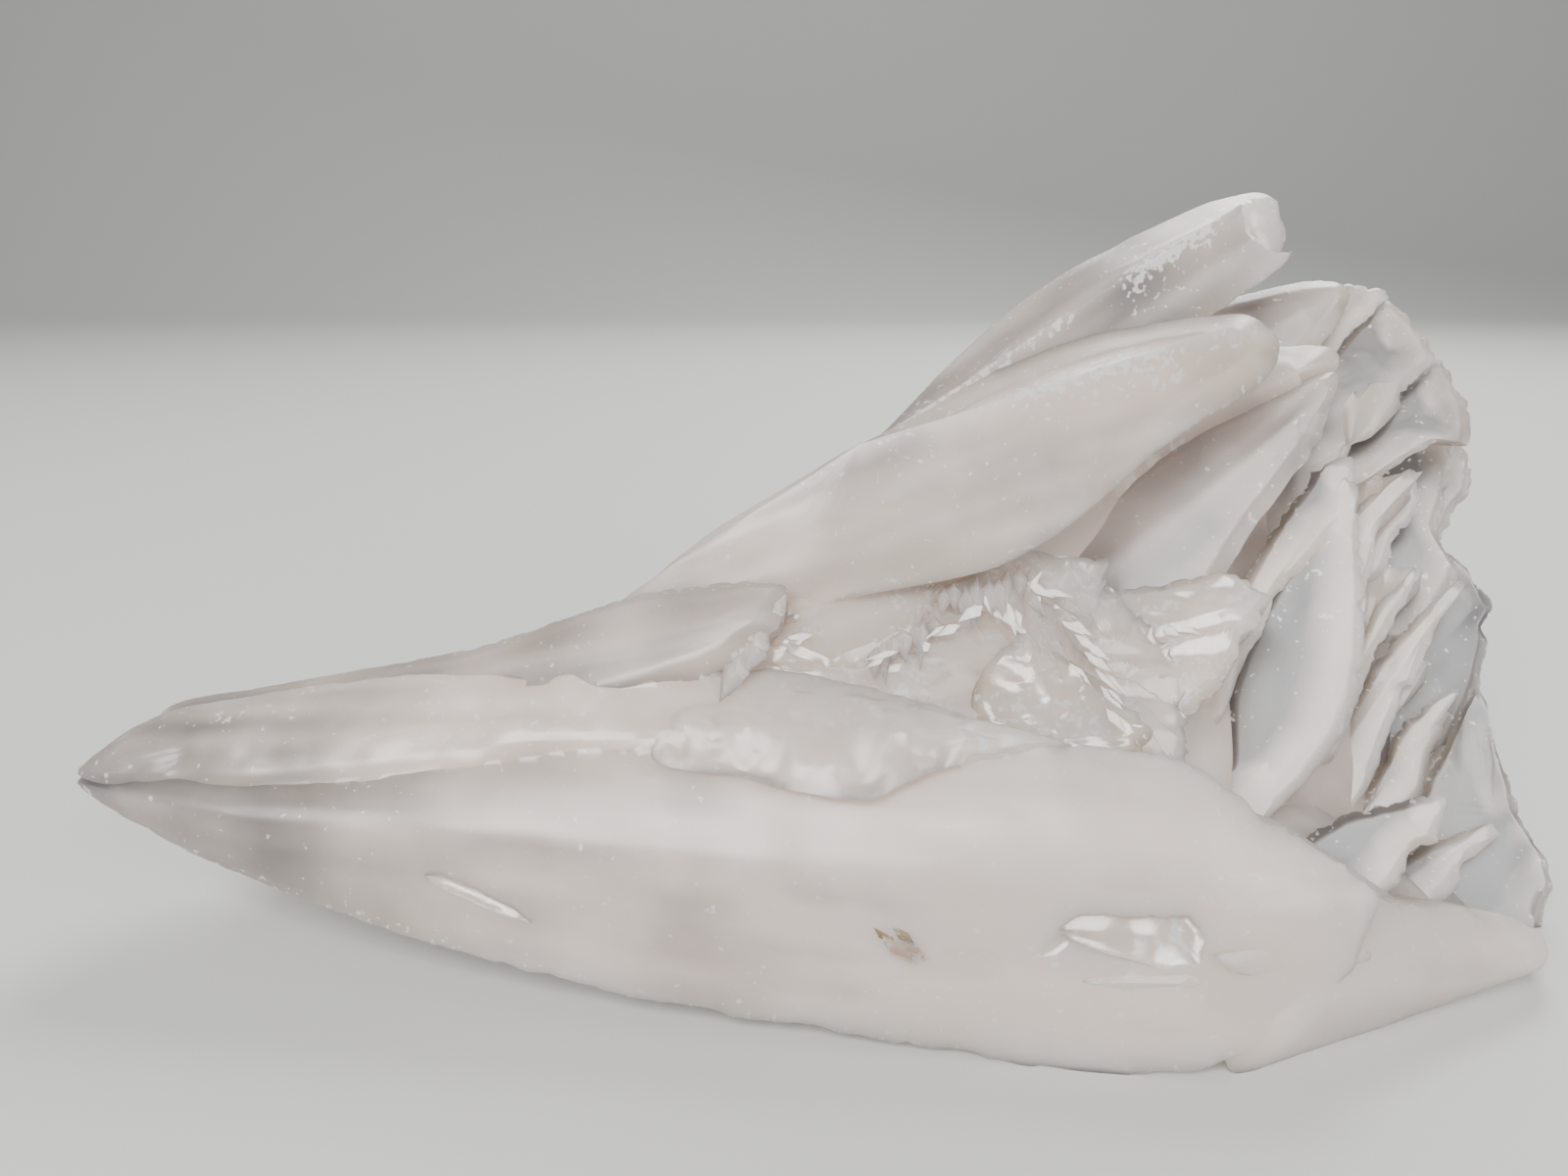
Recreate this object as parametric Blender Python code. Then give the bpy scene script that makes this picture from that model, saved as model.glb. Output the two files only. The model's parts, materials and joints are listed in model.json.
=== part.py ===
"""Calcite crystal group: a sheaf of bladed crystals that spread from one point.

The blades start together at a closed tip on the left (-X) and open into a fan of
thin, ragged plates on the right (+X). They grew into each other, so the whole
group is one solid, cut off flat where it rests.

Shapes are written in millimetres and scaled by MM. +X runs along the length, +Z is
up, and the origin lies under the middle of the group, on the resting plane.
"""

from collections import namedtuple

import bmesh
import bpy
from mathutils import Vector

MM = 0.001

# Driving dimensions, in millimetres.
REST_HEIGHT = 0.0  # the plane that the group is cut off at
CUTTER_SIZE = 200.0
BLADE_BEVEL = 7.0  # width of the sloping margin of the large blades
FINGER_BEVEL = 5.0
PLATE_BEVEL = 2.3  # the same margin on the thin plates of the fan
PLATE_FRONT = 1.7  # half thickness of a plate towards its face
PLATE_BACK = 2.2
MARGIN_RISE = 0.85  # share of the thickness that the sloping margin reaches
FINGER_RISE = 0.35  # the margin of the creased fingers, whose faces rise to the crease
BLUNT_RISE = 0.6  # and of the fingers that are only rounded
BEVEL_LIMIT = 0.8  # a margin never covers more than this share of the way inwards
STEP_SIZE = 1.5  # edge of the smallest cleavage rhomb on the broken layer
STEP_GROWTH = 0.35
STEP_COUNT = 9
STEPS_START = (2.0, -9.0, 23.4)  # the broken edge climbs from here
STEPS_END = (13.5, -3.4, 28.2)
PIT_PLACE = (1.8, -23.6, 8.6)  # a small angular pit in the big front face
PIT_SIZE = 3.8

REAR_PLATES = 4
REAR_PLATE_PITCH = 8.0

# Facing directions: growth faces that belong together are parallel.
PROW_FACING = (-0.12, -0.92, 0.37)
FINGER_FACING = (-0.18, -0.81, 0.56)
SHELF_FACING = (-0.30, -0.80, 0.50)
FAN_TOP = (-0.35, -0.79, 0.50)
FAN_MIDDLE = (-0.41, -0.77, 0.46)
FAN_FOOT = (-0.40, -0.75, 0.53)
REAR_FACING = (-0.26, 0.86, 0.44)
REAR_FAN = (0.34, 0.82, 0.46)
HOLLOW_FACING = (0.08, -0.66, 0.75)

# The edges of a cleavage rhomb: calcite breaks along three planes at about 75 and
# 105 degrees.
RHOMB_EDGES = ((0.92, -0.26, -0.29), (0.10, 0.93, -0.35), (-0.42, -0.22, 0.88))

# outline and spine are (x, z) corners on the plane that passes through the point
# "through" and looks along "facing". front and back are the thicknesses at the
# spine, bevel is the width of the sloping margin.
Crystal = namedtuple("Crystal", "outline spine through facing front back bevel rise")


def plate(outline, spine, through, facing, front=PLATE_FRONT, back=PLATE_BACK,
          bevel=PLATE_BEVEL, rise=MARGIN_RISE):
    """A crystal with the fan plates' usual thickness and margin."""
    return Crystal(outline, spine, through, facing, front, back, bevel, rise)


def front_blades():
    """The big blade at the front, its bevelled upper ledge and the ridge behind."""
    prow = Crystal(
        [(-60.5, 14), (-54, 16), (-42, 17), (-28.5, 19), (-12.5, 20), (0, 19), (8, 20.5),
         (14, 20.5), (22, 20), (27, 16.5), (33.5, 13), (34, 11.5), (32, 7), (27.5, 2.5),
         (22.5, 0.5), (17.5, -0.5), (8, 0), (-2, 1), (-12.5, 1.5), (-23, 3),
         (-34, 5), (-48, 8.5), (-57, 12)],
        [(-45, 12.5), (23, 10.5)], (17.5, -25.5, 0), PROW_FACING,
        front=2.5, back=9, bevel=BLADE_BEVEL, rise=MARGIN_RISE)
    ledge = Crystal(
        [(-57.5, 16.5), (-55, 18.5), (-51, 20), (-39.5, 21.5), (-29, 23), (-12.5, 23.5),
         (-2, 23.5), (7, 21), (13, 20.5), (8, 19.5), (0, 18), (-8, 18), (-16.5, 18.5),
         (-28, 18.5), (-38, 16.5), (-45, 16), (-51.5, 16)],
        [(-46, 18), (1.5, 21)], (-51, -7.1, 20), (-0.08, -0.62, 0.78),
        front=1.2, back=7, bevel=2.5, rise=0.9)
    ridge = Crystal(
        [(-57.5, 16), (-55, 17), (-41.5, 20), (-30, 22.5), (-17, 27), (-8.5, 28.5),
         (-5, 28.5), (-5.5, 26), (-9.5, 23), (-20, 19.5), (-39.5, 15.5), (-52.5, 15)],
        [(-44.5, 17.5), (-10, 25.5)], (-30, -5, 22.5), (-0.22, -0.68, 0.70),
        front=2, back=8, bevel=4, rise=0.8)
    toe = Crystal(
        [(13.5, 5.5), (22.5, 7.5), (32, 8), (39, 6), (45, 5.5), (49, 5), (53, 4), (52, 2.5),
         (50.5, 1), (49, 0), (44.5, -1), (36.5, -1.5), (28, -2), (21.5, -1.5), (14.5, 1)],
        [(20.5, 3.5), (44, 3)], (41.5, -18.5, -0.5), (0.20, -0.78, 0.58),
        front=3.5, back=8, bevel=5, rise=0.8)
    return [prow, ledge, ridge, toe]


def fingers():
    """Blunt, rounded prisms that point up to the right, front one first."""
    long_finger = Crystal(
        [(-21, 24), (-17, 26.5), (-13.5, 29.5), (-5.5, 34), (-1, 37), (2.5, 38.5),
         (10.5, 43), (18, 46), (25.5, 47.5), (30.5, 48), (32, 47.5), (33, 46), (32.5, 44),
         (30, 42), (23, 38), (19, 34.5), (14, 31), (9.5, 29), (0, 27), (-8.5, 24.5)],
        [(1, 36), (28, 44.7)], (10.5, 4, 43), FINGER_FACING,
        front=4.5, back=5, bevel=2.5, rise=FINGER_RISE)
    top_finger = Crystal(
        [(-9, 30), (-0.5, 35.5), (3, 38), (8, 43), (14, 48), (19.5, 51.5), (28, 55.5),
         (32, 57), (35, 57.5), (36.5, 56), (37, 54.5), (36.5, 52), (33, 49.5),
         (26.5, 45.5), (18.5, 40), (9, 34), (-1.5, 29)],
        [(5, 37.5), (32, 54)], (34.5, 13, 57.5), FINGER_FACING,
        front=4, back=4, bevel=3, rise=FINGER_RISE)
    low_finger = Crystal(
        [(12, 30.5), (20.5, 37.5), (28.5, 42.5), (36.5, 45), (40, 45), (41, 44.5),
         (41, 43.5), (39.5, 41.5), (38.5, 39), (37, 38.5), (34.5, 37.5), (29.5, 36),
         (23.5, 33), (16, 27.5)],
        [(20, 33.5), (37.5, 42)], (41, 8, 44.5), SHELF_FACING,
        front=3.5, back=4, bevel=4, rise=BLUNT_RISE)
    return [long_finger, top_finger, low_finger]


def back_plates():
    """Flat plates whose ends show between the fingers and the fan."""
    wide = plate(
        [(9.5, 31), (20, 40.5), (29, 47), (37, 49), (41, 50), (44, 50), (44.5, 49),
         (43.5, 47), (42, 45), (37.5, 40.5), (29.5, 34.5), (17.5, 27)],
        [(20, 35.5), (40.5, 47)], (44, 15, 50), SHELF_FACING, front=2.5, back=3, bevel=3)
    splinter = plate(
        [(30.5, 36.5), (38.5, 45), (45.5, 50), (46.5, 49.5), (48.5, 49.5), (49, 48.5),
         (47.5, 47), (45.5, 45.5), (44.5, 44), (37.5, 36)],
        [(38, 41), (46.5, 48)], (48.5, 17, 49.5), SHELF_FACING)
    return [wide, splinter]


def shelves():
    """The shoulder under the fingers, the frayed shelf below it and small lumps."""
    shoulder = Crystal(
        [(15, 21.5), (17.5, 27.5), (23.5, 33.5), (29.5, 38), (35.5, 41.5), (40, 43.5),
         (40, 42), (39, 40), (38.5, 38), (36.5, 35.5), (35, 33.5), (33, 31), (31, 28),
         (28, 23), (21.5, 19.5)],
        [(22, 26), (36, 38.5)], (35, 2, 33.5), (-0.38, -0.78, 0.50),
        front=2.5, back=5, bevel=2.5, rise=0.9)
    shelf = Crystal(
        [(15, 23), (20.5, 26), (25.5, 27), (30, 28.5), (32, 27.5), (33, 27), (32, 25.5),
         (30.5, 24), (29.5, 22.5), (28, 20.5), (25.5, 18.5), (20.5, 17), (15, 19)],
        [(19.5, 22), (28.5, 25)], (32, -5, 25.5), (-0.30, -0.70, 0.65),
        front=2.5, back=6, bevel=3, rise=MARGIN_RISE)
    knuckle = Crystal(
        [(40, 10.5), (42, 11.5), (44.5, 12.5), (46.5, 12), (47, 11), (46, 10), (44, 9),
         (41, 8), (38.5, 6.5)],
        [(41.5, 10), (45, 11)], (44, -3, 11), (-0.30, -0.70, 0.65),
        front=2.2, back=5, bevel=3.5, rise=0.7)
    wedge = Crystal(
        [(8, 20), (9.5, 22.5), (13, 25), (17.5, 22.5), (22, 19.5), (19, 17), (10, 17)],
        [(12.5, 20), (17, 20)], (12, -9, 22), (-0.10, -0.70, 0.70),
        front=1.8, back=5, bevel=2.5, rise=MARGIN_RISE)
    return [shoulder, shelf, knuckle, wedge]


def terraces():
    """Thin broken layers that lie like shingles on the floor of the hollow."""
    upper = Crystal(
        [(-7, 24), (-6, 28), (0, 29.5), (8, 30), (14, 29.5), (14, 28.4), (11, 27.8),
         (8, 27.3), (6.4, 26.2), (4.4, 24.4), (2.2, 23.6), (-2, 22.6)],
        [(-3, 26), (9, 28.6)], (5.6, -6.8, 24.4), (0.0, -0.62, 0.78),
        front=0.7, back=3, bevel=0.8, rise=0.9)
    middle = Crystal(
        [(6, 27), (14, 30), (21, 29), (19, 25.5), (17.5, 23.5), (16.5, 22), (15, 22.5),
         (13, 24.4), (11, 25.6)],
        [(11, 27.4), (17, 26)], (14.7, -4.6, 26.2), HOLLOW_FACING,
        front=0.5, back=3, bevel=1.0, rise=0.9)
    return [upper, middle]


def upper_fan():
    """Plates of the fan's upper half, from the hollow outwards to the clear rim."""
    return [
        plate([(26.5, 13.5), (31.5, 21.5), (36, 29.5), (40.5, 35.5), (43, 36), (43, 32.5),
               (42.5, 31), (41, 30), (39, 27.5), (37.5, 26), (36, 24.5), (35, 22),
               (33, 19), (31, 14.5)],
              [(33, 21), (41, 33)], (41, 4, 30), FAN_TOP),
        plate([(33.5, 30), (38, 37), (43, 42.5), (46, 46), (49, 48.5), (50.5, 47),
               (51.5, 45.5), (52, 43.5), (50, 41.5), (48.5, 40), (46.5, 39), (46, 38),
               (45, 37), (44.5, 35), (39, 27.5)],
              [(40, 35.5), (48.5, 44)], (50, 12, 41.5), FAN_TOP),
        plate([(36, 23.5), (41, 31.5), (46, 37), (51, 41.5), (53.5, 43.5), (54.5, 41.5),
               (55, 40), (55, 37.5), (54.5, 36), (52.5, 36.5), (49.5, 34.5), (47.5, 33),
               (45.5, 32), (41.5, 25.5)],
              [(43.5, 30.5), (52, 39)], (49.5, 11, 34.5), FAN_TOP),
        plate([(27.5, 4.5), (33, 14), (38, 23), (44, 30.5), (48.5, 34.5), (50, 34.5),
               (48, 32.5), (46.5, 30), (45.5, 26.5), (44, 22.5), (43, 20.5), (41.5, 19),
               (40, 17), (38.5, 14.5), (36.5, 12.5), (34.5, 9.5), (31.5, 5.5)],
              [(35, 13.5), (46, 30)], (44, 4, 22.5), FAN_MIDDLE),
        plate([(41.5, 20), (46, 26.5), (49.5, 32), (51.5, 33), (52, 31.5), (51, 29.5),
               (49.5, 28), (48.5, 25), (46.5, 23.5), (45, 20.5)],
              [(45.5, 23.5), (50, 30.5)], (51, 10, 29.5), FAN_MIDDLE, front=1.2, back=1.5),
        plate([(44.5, 17.5), (49.5, 25.5), (54, 31.5), (57.5, 36), (58.5, 34.5),
               (58.5, 31.5), (57, 29.5), (55.5, 26.5), (54, 26.5), (52, 25), (49.5, 22),
               (47, 18)],
              [(50, 23), (56, 31)], (55.5, 13, 26.5), FAN_MIDDLE),
        plate([(44, 18), (47, 28), (51, 37), (55.5, 38.5), (57, 35), (55.5, 30),
               (54.5, 27.5), (56, 24.5), (52, 18)],
              [(49, 24), (54, 34)], (55, 15, 32), FAN_MIDDLE),
    ]


def lower_fan():
    """Plates of the fan's lower half, down to the clear wing that rests at the foot."""
    return [
        plate([(30, 2.5), (33, 9.5), (37.5, 17), (41.5, 23.5), (44, 25.5), (44, 24.5),
               (43, 21.5), (42.5, 19), (41.5, 16), (41, 14), (40, 12.5), (38, 10), (35, 7),
               (32.5, 2.5)],
              [(35.5, 10), (42, 21.5)], (42.5, 0, 19), FAN_MIDDLE),
        plate([(39.5, 9.5), (43.5, 17.5), (46, 22.5), (49.5, 26.5), (50, 26.5),
               (49.5, 24.5), (48.5, 23), (47, 20.5), (46, 19), (45, 16.5), (42, 10)],
              [(43.5, 16), (48.5, 24.5)], (48.5, 5, 23), FAN_MIDDLE, front=1.2, back=1.6),
        plate([(38.5, 2), (43, 10), (47, 17), (50.5, 21.5), (54, 25), (54.5, 24.5),
               (52.5, 21.5), (52, 20.5), (51, 18.5), (50, 16), (49, 15.5), (49, 14.5),
               (47.5, 11.5), (47, 10), (45.5, 7), (42, 2.5)],
              [(44.5, 10.5), (52, 21.5)], (51, 5, 18.5), FAN_MIDDLE),
        plate([(46.5, 9.5), (50.5, 17.5), (54, 22.5), (57, 25.5), (58.5, 24.5),
               (59.5, 22.5), (60.5, 21), (59.5, 19), (59.5, 18), (58.5, 14.5), (57, 11),
               (54.5, 6), (49, 5)],
              [(50.5, 11.5), (58.5, 20.5)], (60.5, 11, 21), (-0.36, -0.80, 0.46)),
        plate([(44.5, 0.5), (46.5, 6), (49.5, 12), (52, 14.5), (54.5, 16), (53.5, 14),
               (52.5, 11.5), (51.5, 9.5), (51, 7), (49, 4.5), (46.5, 1)],
              [(47, 5.5), (52, 12.5)], (52.5, 3, 11.5), FAN_MIDDLE),
        plate([(48, 0), (50, 4.5), (52.5, 8.5), (56.5, 11.5), (56.5, 11), (55.5, 9),
               (55, 8), (54.5, 6), (53, 3.5), (50, 0.5)],
              [(50.5, 3.5), (55, 8.5)], (55, 4, 8), FAN_MIDDLE),
        plate([(32.5, 0), (35.5, 5), (39.5, 8.5), (43, 10), (45.5, 11), (47.5, 11.5),
               (46.5, 9), (46, 8), (45, 7.5), (43.5, 5.5), (43, 4.5), (42, 3.5), (38.5, 1)],
              [(36, 3.5), (44.5, 9)], (45, -9, 7.5), FAN_FOOT, back=4),
        plate([(42, -1), (44.5, 2.5), (47.5, 5), (51.5, 7), (53.5, 8), (53.5, 7),
               (52, 5.5), (51, 4.5), (50, 3), (49, 1.5), (46.5, -0.5)],
              [(45, 1), (51, 6)], (52, -6, 5.5), FAN_FOOT, back=3.5),
        plate([(43, -3.5), (47.5, 4.5), (51, 10), (55, 16.5), (55.5, 15.5), (55.5, 12),
               (56, 10), (56.5, 7), (57.5, 4.5), (57.5, 2.5), (56.5, 1), (56, -1),
               (53, -3.5), (46, -5.5)],
              [(47.5, 1.5), (54.5, 7.5)], (56.5, -8, 1), FAN_FOOT, back=3, bevel=3),
    ]


def rear_crystals():
    """The far side: two long blades and a keel, two fingers and four more plates."""
    low_blade = Crystal(
        [(-52, 11), (-36, 13), (-14, 17), (8, 22), (28, 24), (42, 20), (47, 10), (44, 1),
         (30, -2), (4, -2), (-20, 2), (-40, 8)],
        [(-34, 10), (30, 10)], (0, 11, 12), REAR_FACING,
        front=3.5, back=12, bevel=BLADE_BEVEL, rise=MARGIN_RISE)
    high_blade = Crystal(
        [(-44, 13), (-24, 18), (-4, 26), (14, 33), (30, 38), (40, 34), (44, 26), (40, 18),
         (20, 15), (-6, 13), (-28, 11)],
        [(-26, 15), (30, 27)], (0, 11, 20), (-0.24, 0.80, 0.55),
        front=3, back=10, bevel=BLADE_BEVEL, rise=MARGIN_RISE)
    keel = Crystal(
        [(-24, 6), (-8, 9), (12, 10), (28, 10), (38, 7), (38, 1), (26, -2), (2, -2),
         (-16, 1)],
        [(-12, 4), (28, 4)], (10, 23, 3), (-0.10, 0.94, 0.33),
        front=3, back=12, bevel=5, rise=MARGIN_RISE)
    long_finger = Crystal(
        [(-12, 24), (2, 31), (14, 38), (24, 44), (31, 46), (34, 44), (33, 41), (26, 35),
         (14, 28), (0, 22)],
        [(0, 27), (28, 42)], (16, 15, 36), (-0.15, 0.84, 0.52),
        front=3.5, back=6, bevel=FINGER_BEVEL, rise=BLUNT_RISE)
    short_finger = Crystal(
        [(4, 20), (16, 26), (28, 32), (38, 36), (42, 35), (41, 31), (34, 25), (22, 18),
         (8, 15)],
        [(10, 20), (37, 33)], (28, 19, 28), (-0.10, 0.86, 0.50),
        front=4, back=6, bevel=4, rise=BLUNT_RISE)
    plates = []
    for rank in range(REAR_PLATES):
        lift = REAR_PLATE_PITCH * rank
        plates.append(plate(
            [(30, 4 + lift), (38, 10 + lift), (47 - rank, 17 + lift), (52 - rank, 18 + lift),
             (53 - rank, 15 + lift), (50 - rank, 11 + lift), (44, 5 + lift),
             (36, -1 + lift)],
            [(38, 6 + lift), (49 - rank, 14.5 + lift)], (44, 14 + 1.5 * rank, 9 + lift),
            REAR_FAN, back=5))
    return [low_blade, high_blade, keel, long_finger, short_finger] + plates


def heart():
    """The solid middle that the blades grow out of.

    The left and right halves, the floor of the hollow, two fillings under the foot of
    the fan, and the two halves of the belly that closes the underside.
    """
    left = Crystal(
        [(-50, 13), (-30, 17), (-12, 22), (2, 27), (16, 32), (28, 33), (34, 26), (36, 14),
         (32, 2), (24, -3), (4, -3), (-16, 0), (-36, 7)],
        [(-28, 12), (22, 16)], (0, 1, 16), (0.13, -0.85, 0.52),
        front=6, back=12, bevel=9, rise=0.8)
    right = Crystal(
        [(16, 6), (18, 22), (24, 34), (32, 40), (40, 42), (46, 38), (51, 32), (54.5, 27),
         (51, 10), (46, -3), (30, -4), (18, -2)],
        [(30, 10), (38, 30)], (40, 9, 20), (0.35, -0.82, 0.45),
        front=3, back=9, bevel=6, rise=0.8)
    hollow = Crystal(
        [(-10, 24), (0, 28), (12, 30), (20, 28), (26, 22), (24, 14), (14, 13), (4, 14),
         (-10, 18)],
        [(0, 22), (18, 21)], (5, -4, 26), (0.05, -0.70, 0.71),
        front=0.8, back=10, bevel=4, rise=0.8)
    foot = Crystal(
        [(26, -3), (28, 7), (36, 9), (42, 6), (50, 1.5), (54, -1), (52, -4)],
        [(34, 1), (46, -1)], (40, -3, 5), (0.10, -0.70, 0.70),
        front=2, back=7, bevel=3, rise=0.8)
    heel = Crystal(
        [(22, 7), (34, 6.5), (46, 4.5), (51, 2), (52, -3), (36, -5), (24, -5)],
        [(28, 2), (44, 0)], (44, -6, -0.5), (0.00, 0.54, 0.84),
        front=0.4, back=5, bevel=3, rise=0.8)
    belly = Crystal(
        [(-50, 12), (-30, 12.5), (-6, 13), (14, 13), (32, 11), (43, 4), (46, -4), (20, -5),
         (-12, -3), (-34, 5)],
        [(-30, 8), (32, 3)], (0, -5, 6), (-0.15, -0.98, 0.05),
        front=10, back=16, bevel=6, rise=MARGIN_RISE)
    rear_belly = Crystal(
        [(-34, 9), (-10, 11), (16, 12), (38, 9), (44, 3), (40, -4), (0, -4), (-24, 1)],
        [(-20, 5), (30, 4)], (10, 12, 4), (-0.25, 0.95, 0.10),
        front=3, back=14, bevel=5, rise=MARGIN_RISE)
    return [left, right, hollow, foot, heel, belly, rear_belly]


def on_plane(crystal, x, z):
    """The point of the crystal's own plane above (x, z)."""
    normal = Vector(crystal.facing)
    px, py, pz = crystal.through
    y = py - (normal.x * (x - px) + normal.z * (z - pz)) / normal.y
    return Vector((x, y, z))


def nearest_on_spine(point, start, end):
    """The place on the spine nearest to a corner, and how far along it lies."""
    axis = end - start
    share = (point - start).dot(axis) / axis.length_squared
    share = min(max(share, 0.0), 1.0)
    return start + share * axis, share


def lens_mesh(crystal):
    """A closed faceted lens: rim, sloping margins, and two faces that meet a spine."""
    normal = Vector(crystal.facing).normalized()
    ends = [on_plane(crystal, x, z) for x, z in crystal.spine]
    rim = [on_plane(crystal, x, z) for x, z in crystal.outline]
    bm = bmesh.new()
    rim_verts = [bm.verts.new(p) for p in rim]
    count = len(rim)
    for side, thickness in ((1, crystal.front), (-1, crystal.back)):
        out = normal * (side * thickness)
        apexes = [bm.verts.new(p + out) for p in ends]
        margin = []
        nearer_end = []
        for p in rim:
            centre, share = nearest_on_spine(p, *ends)
            inward = centre - p
            inset = min(crystal.bevel / inward.length, BEVEL_LIMIT)
            margin.append(bm.verts.new(p + inset * inward + crystal.rise * out))
            nearer_end.append(1 if share > 0.5 else 0)
        for i in range(count):
            j = (i + 1) % count
            bm.faces.new((rim_verts[i], rim_verts[j], margin[j], margin[i]))
            first = apexes[nearer_end[i]]
            last = apexes[nearer_end[j]]
            bm.faces.new((margin[i], margin[j], last))
            if first is not last:
                bm.faces.new((margin[i], last, first))
    return bm


def rhomb_mesh(corner, size):
    """A cleavage rhomb: a box sheared along calcite's three cleavage directions."""
    bm = bmesh.new()
    bmesh.ops.create_cube(bm, size=1.0)
    a, b, c = (Vector(edge).normalized() * size for edge in RHOMB_EDGES)
    for v in bm.verts:
        x, y, z = v.co
        v.co = Vector(corner) + x * a + y * b + z * c
    return bm


def cleavage_steps():
    """Small rhombs along the broken edge of the upper layer in the hollow."""
    meshes = []
    start = Vector(STEPS_START)
    climb = Vector(STEPS_END) - start
    for step in range(STEP_COUNT):
        place = start + climb * (step / (STEP_COUNT - 1))
        size = STEP_SIZE + STEP_GROWTH * ((2 * step) % 3)
        meshes.append(rhomb_mesh(place, size))
    return meshes


def add_object(name, bm, collection):
    """Turns a millimetre bmesh into an object whose faces point outwards."""
    bmesh.ops.recalc_face_normals(bm, faces=bm.faces)
    bmesh.ops.triangulate(bm, faces=bm.faces)
    bmesh.ops.scale(bm, vec=(MM, MM, MM), verts=bm.verts)
    mesh = bpy.data.meshes.new(name)
    bm.to_mesh(mesh)
    bm.free()
    obj = bpy.data.objects.new(name, mesh)
    collection.objects.link(obj)
    return obj


def add_boolean(obj, name, operation, **operand):
    """One exact Boolean on the object."""
    boolean = obj.modifiers.new(name, "BOOLEAN")
    boolean.operation = operation
    boolean.solver = "EXACT"
    for key, value in operand.items():
        setattr(boolean, key, value)


def hide_operand(obj):
    """Marks an object as a construction body."""
    obj.hide_render = True
    obj.display_type = "WIRE"


def base_cutter(scene_collection):
    """A slab below the resting plane, which cuts the group off flat."""
    bm = bmesh.new()
    bmesh.ops.create_cube(bm, size=CUTTER_SIZE)
    bmesh.ops.translate(bm, vec=(0, 0, REST_HEIGHT - CUTTER_SIZE / 2), verts=bm.verts)
    cutter = add_object("base_cutter", bm, scene_collection)
    hide_operand(cutter)
    return cutter


def pit_cutter(scene_collection):
    """A small rhomb that leaves the angular pit in the big front face."""
    cutter = add_object("pit_cutter", rhomb_mesh(PIT_PLACE, PIT_SIZE), scene_collection)
    hide_operand(cutter)
    return cutter


def keep_outer_shell(mesh):
    """Drops closed bubbles between blades, and leaves the one outer surface."""
    bm = bmesh.new()
    bm.from_mesh(mesh)
    bmesh.ops.triangulate(bm, faces=bm.faces)
    bmesh.ops.remove_doubles(bm, verts=bm.verts, dist=1e-7)
    unseen = set(bm.faces)
    shells = []
    while unseen:
        stack = [unseen.pop()]
        shell = []
        while stack:
            face = stack.pop()
            shell.append(face)
            for edge in face.edges:
                for other in edge.link_faces:
                    if other in unseen:
                        unseen.remove(other)
                        stack.append(other)
        shells.append(shell)
    shells.sort(key=len)
    for shell in shells[:-1]:
        bmesh.ops.delete(bm, geom=shell, context="FACES")
    loose = [v for v in bm.verts if not v.link_faces]
    bmesh.ops.delete(bm, geom=loose, context="VERTS")
    bm.to_mesh(mesh)
    bm.free()


def centre_on_base(mesh):
    """Moves the shape so that the origin is under the middle of its bounding box."""
    xs = [v.co.x for v in mesh.vertices]
    ys = [v.co.y for v in mesh.vertices]
    zs = [v.co.z for v in mesh.vertices]
    shift = Vector((-(min(xs) + max(xs)) / 2, -(min(ys) + max(ys)) / 2, -min(zs)))
    for v in mesh.vertices:
        v.co += shift
    return shift


def calcite_material():
    """Milky calcite: off-white, half matt and not metallic."""
    material = bpy.data.materials.new("milky_calcite")
    material.use_nodes = True
    shader = material.node_tree.nodes["Principled BSDF"]
    shader.inputs["Base Color"].default_value = (0.60, 0.56, 0.53, 1.0)
    shader.inputs["Roughness"].default_value = 0.4
    shader.inputs["Metallic"].default_value = 0.0
    return material


def main():
    for obj in list(bpy.data.objects):
        bpy.data.objects.remove(obj, do_unlink=True)
    scene_collection = bpy.context.scene.collection
    growth = bpy.data.collections.new("growth")
    scene_collection.children.link(growth)

    blades = (front_blades() + fingers() + back_plates() + shelves() + terraces()
              + upper_fan() + lower_fan() + rear_crystals() + heart()[1:])
    for number, crystal in enumerate(blades):
        hide_operand(add_object(f"blade_{number}", lens_mesh(crystal), growth))
    for number, rhomb in enumerate(cleavage_steps()):
        hide_operand(add_object(f"step_{number}", rhomb, growth))

    group = add_object("calcite_crystal", lens_mesh(heart()[0]), scene_collection)
    add_boolean(group, "grow together", "UNION", operand_type="COLLECTION", collection=growth)
    add_boolean(group, "pit", "DIFFERENCE", object=pit_cutter(scene_collection))
    add_boolean(group, "rest", "DIFFERENCE", object=base_cutter(scene_collection))

    evaluated = group.evaluated_get(bpy.context.evaluated_depsgraph_get())
    solid = bpy.data.meshes.new_from_object(evaluated)
    keep_outer_shell(solid)
    centre_on_base(solid)
    group.modifiers.clear()
    group.data = solid
    solid.materials.clear()
    solid.materials.append(calcite_material())


main()
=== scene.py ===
"""Calcite crystal group: a sheaf of milky blades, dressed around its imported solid.

The group starts at a closed tip on the left (-X) and opens into blunt fingers and a
fan of thin ragged plates on the right (+X). Every crystal is one closed surface worked
out with numpy. They are then joined into one body, cut off flat where it rests.

Shapes are written in millimetres and scaled by MM. The file is laid out as an add-on:
each operator grows one group of like crystals, and the last ones join them and set up
the table, the lights and the camera.
"""

import json
import math
from collections import namedtuple

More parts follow.
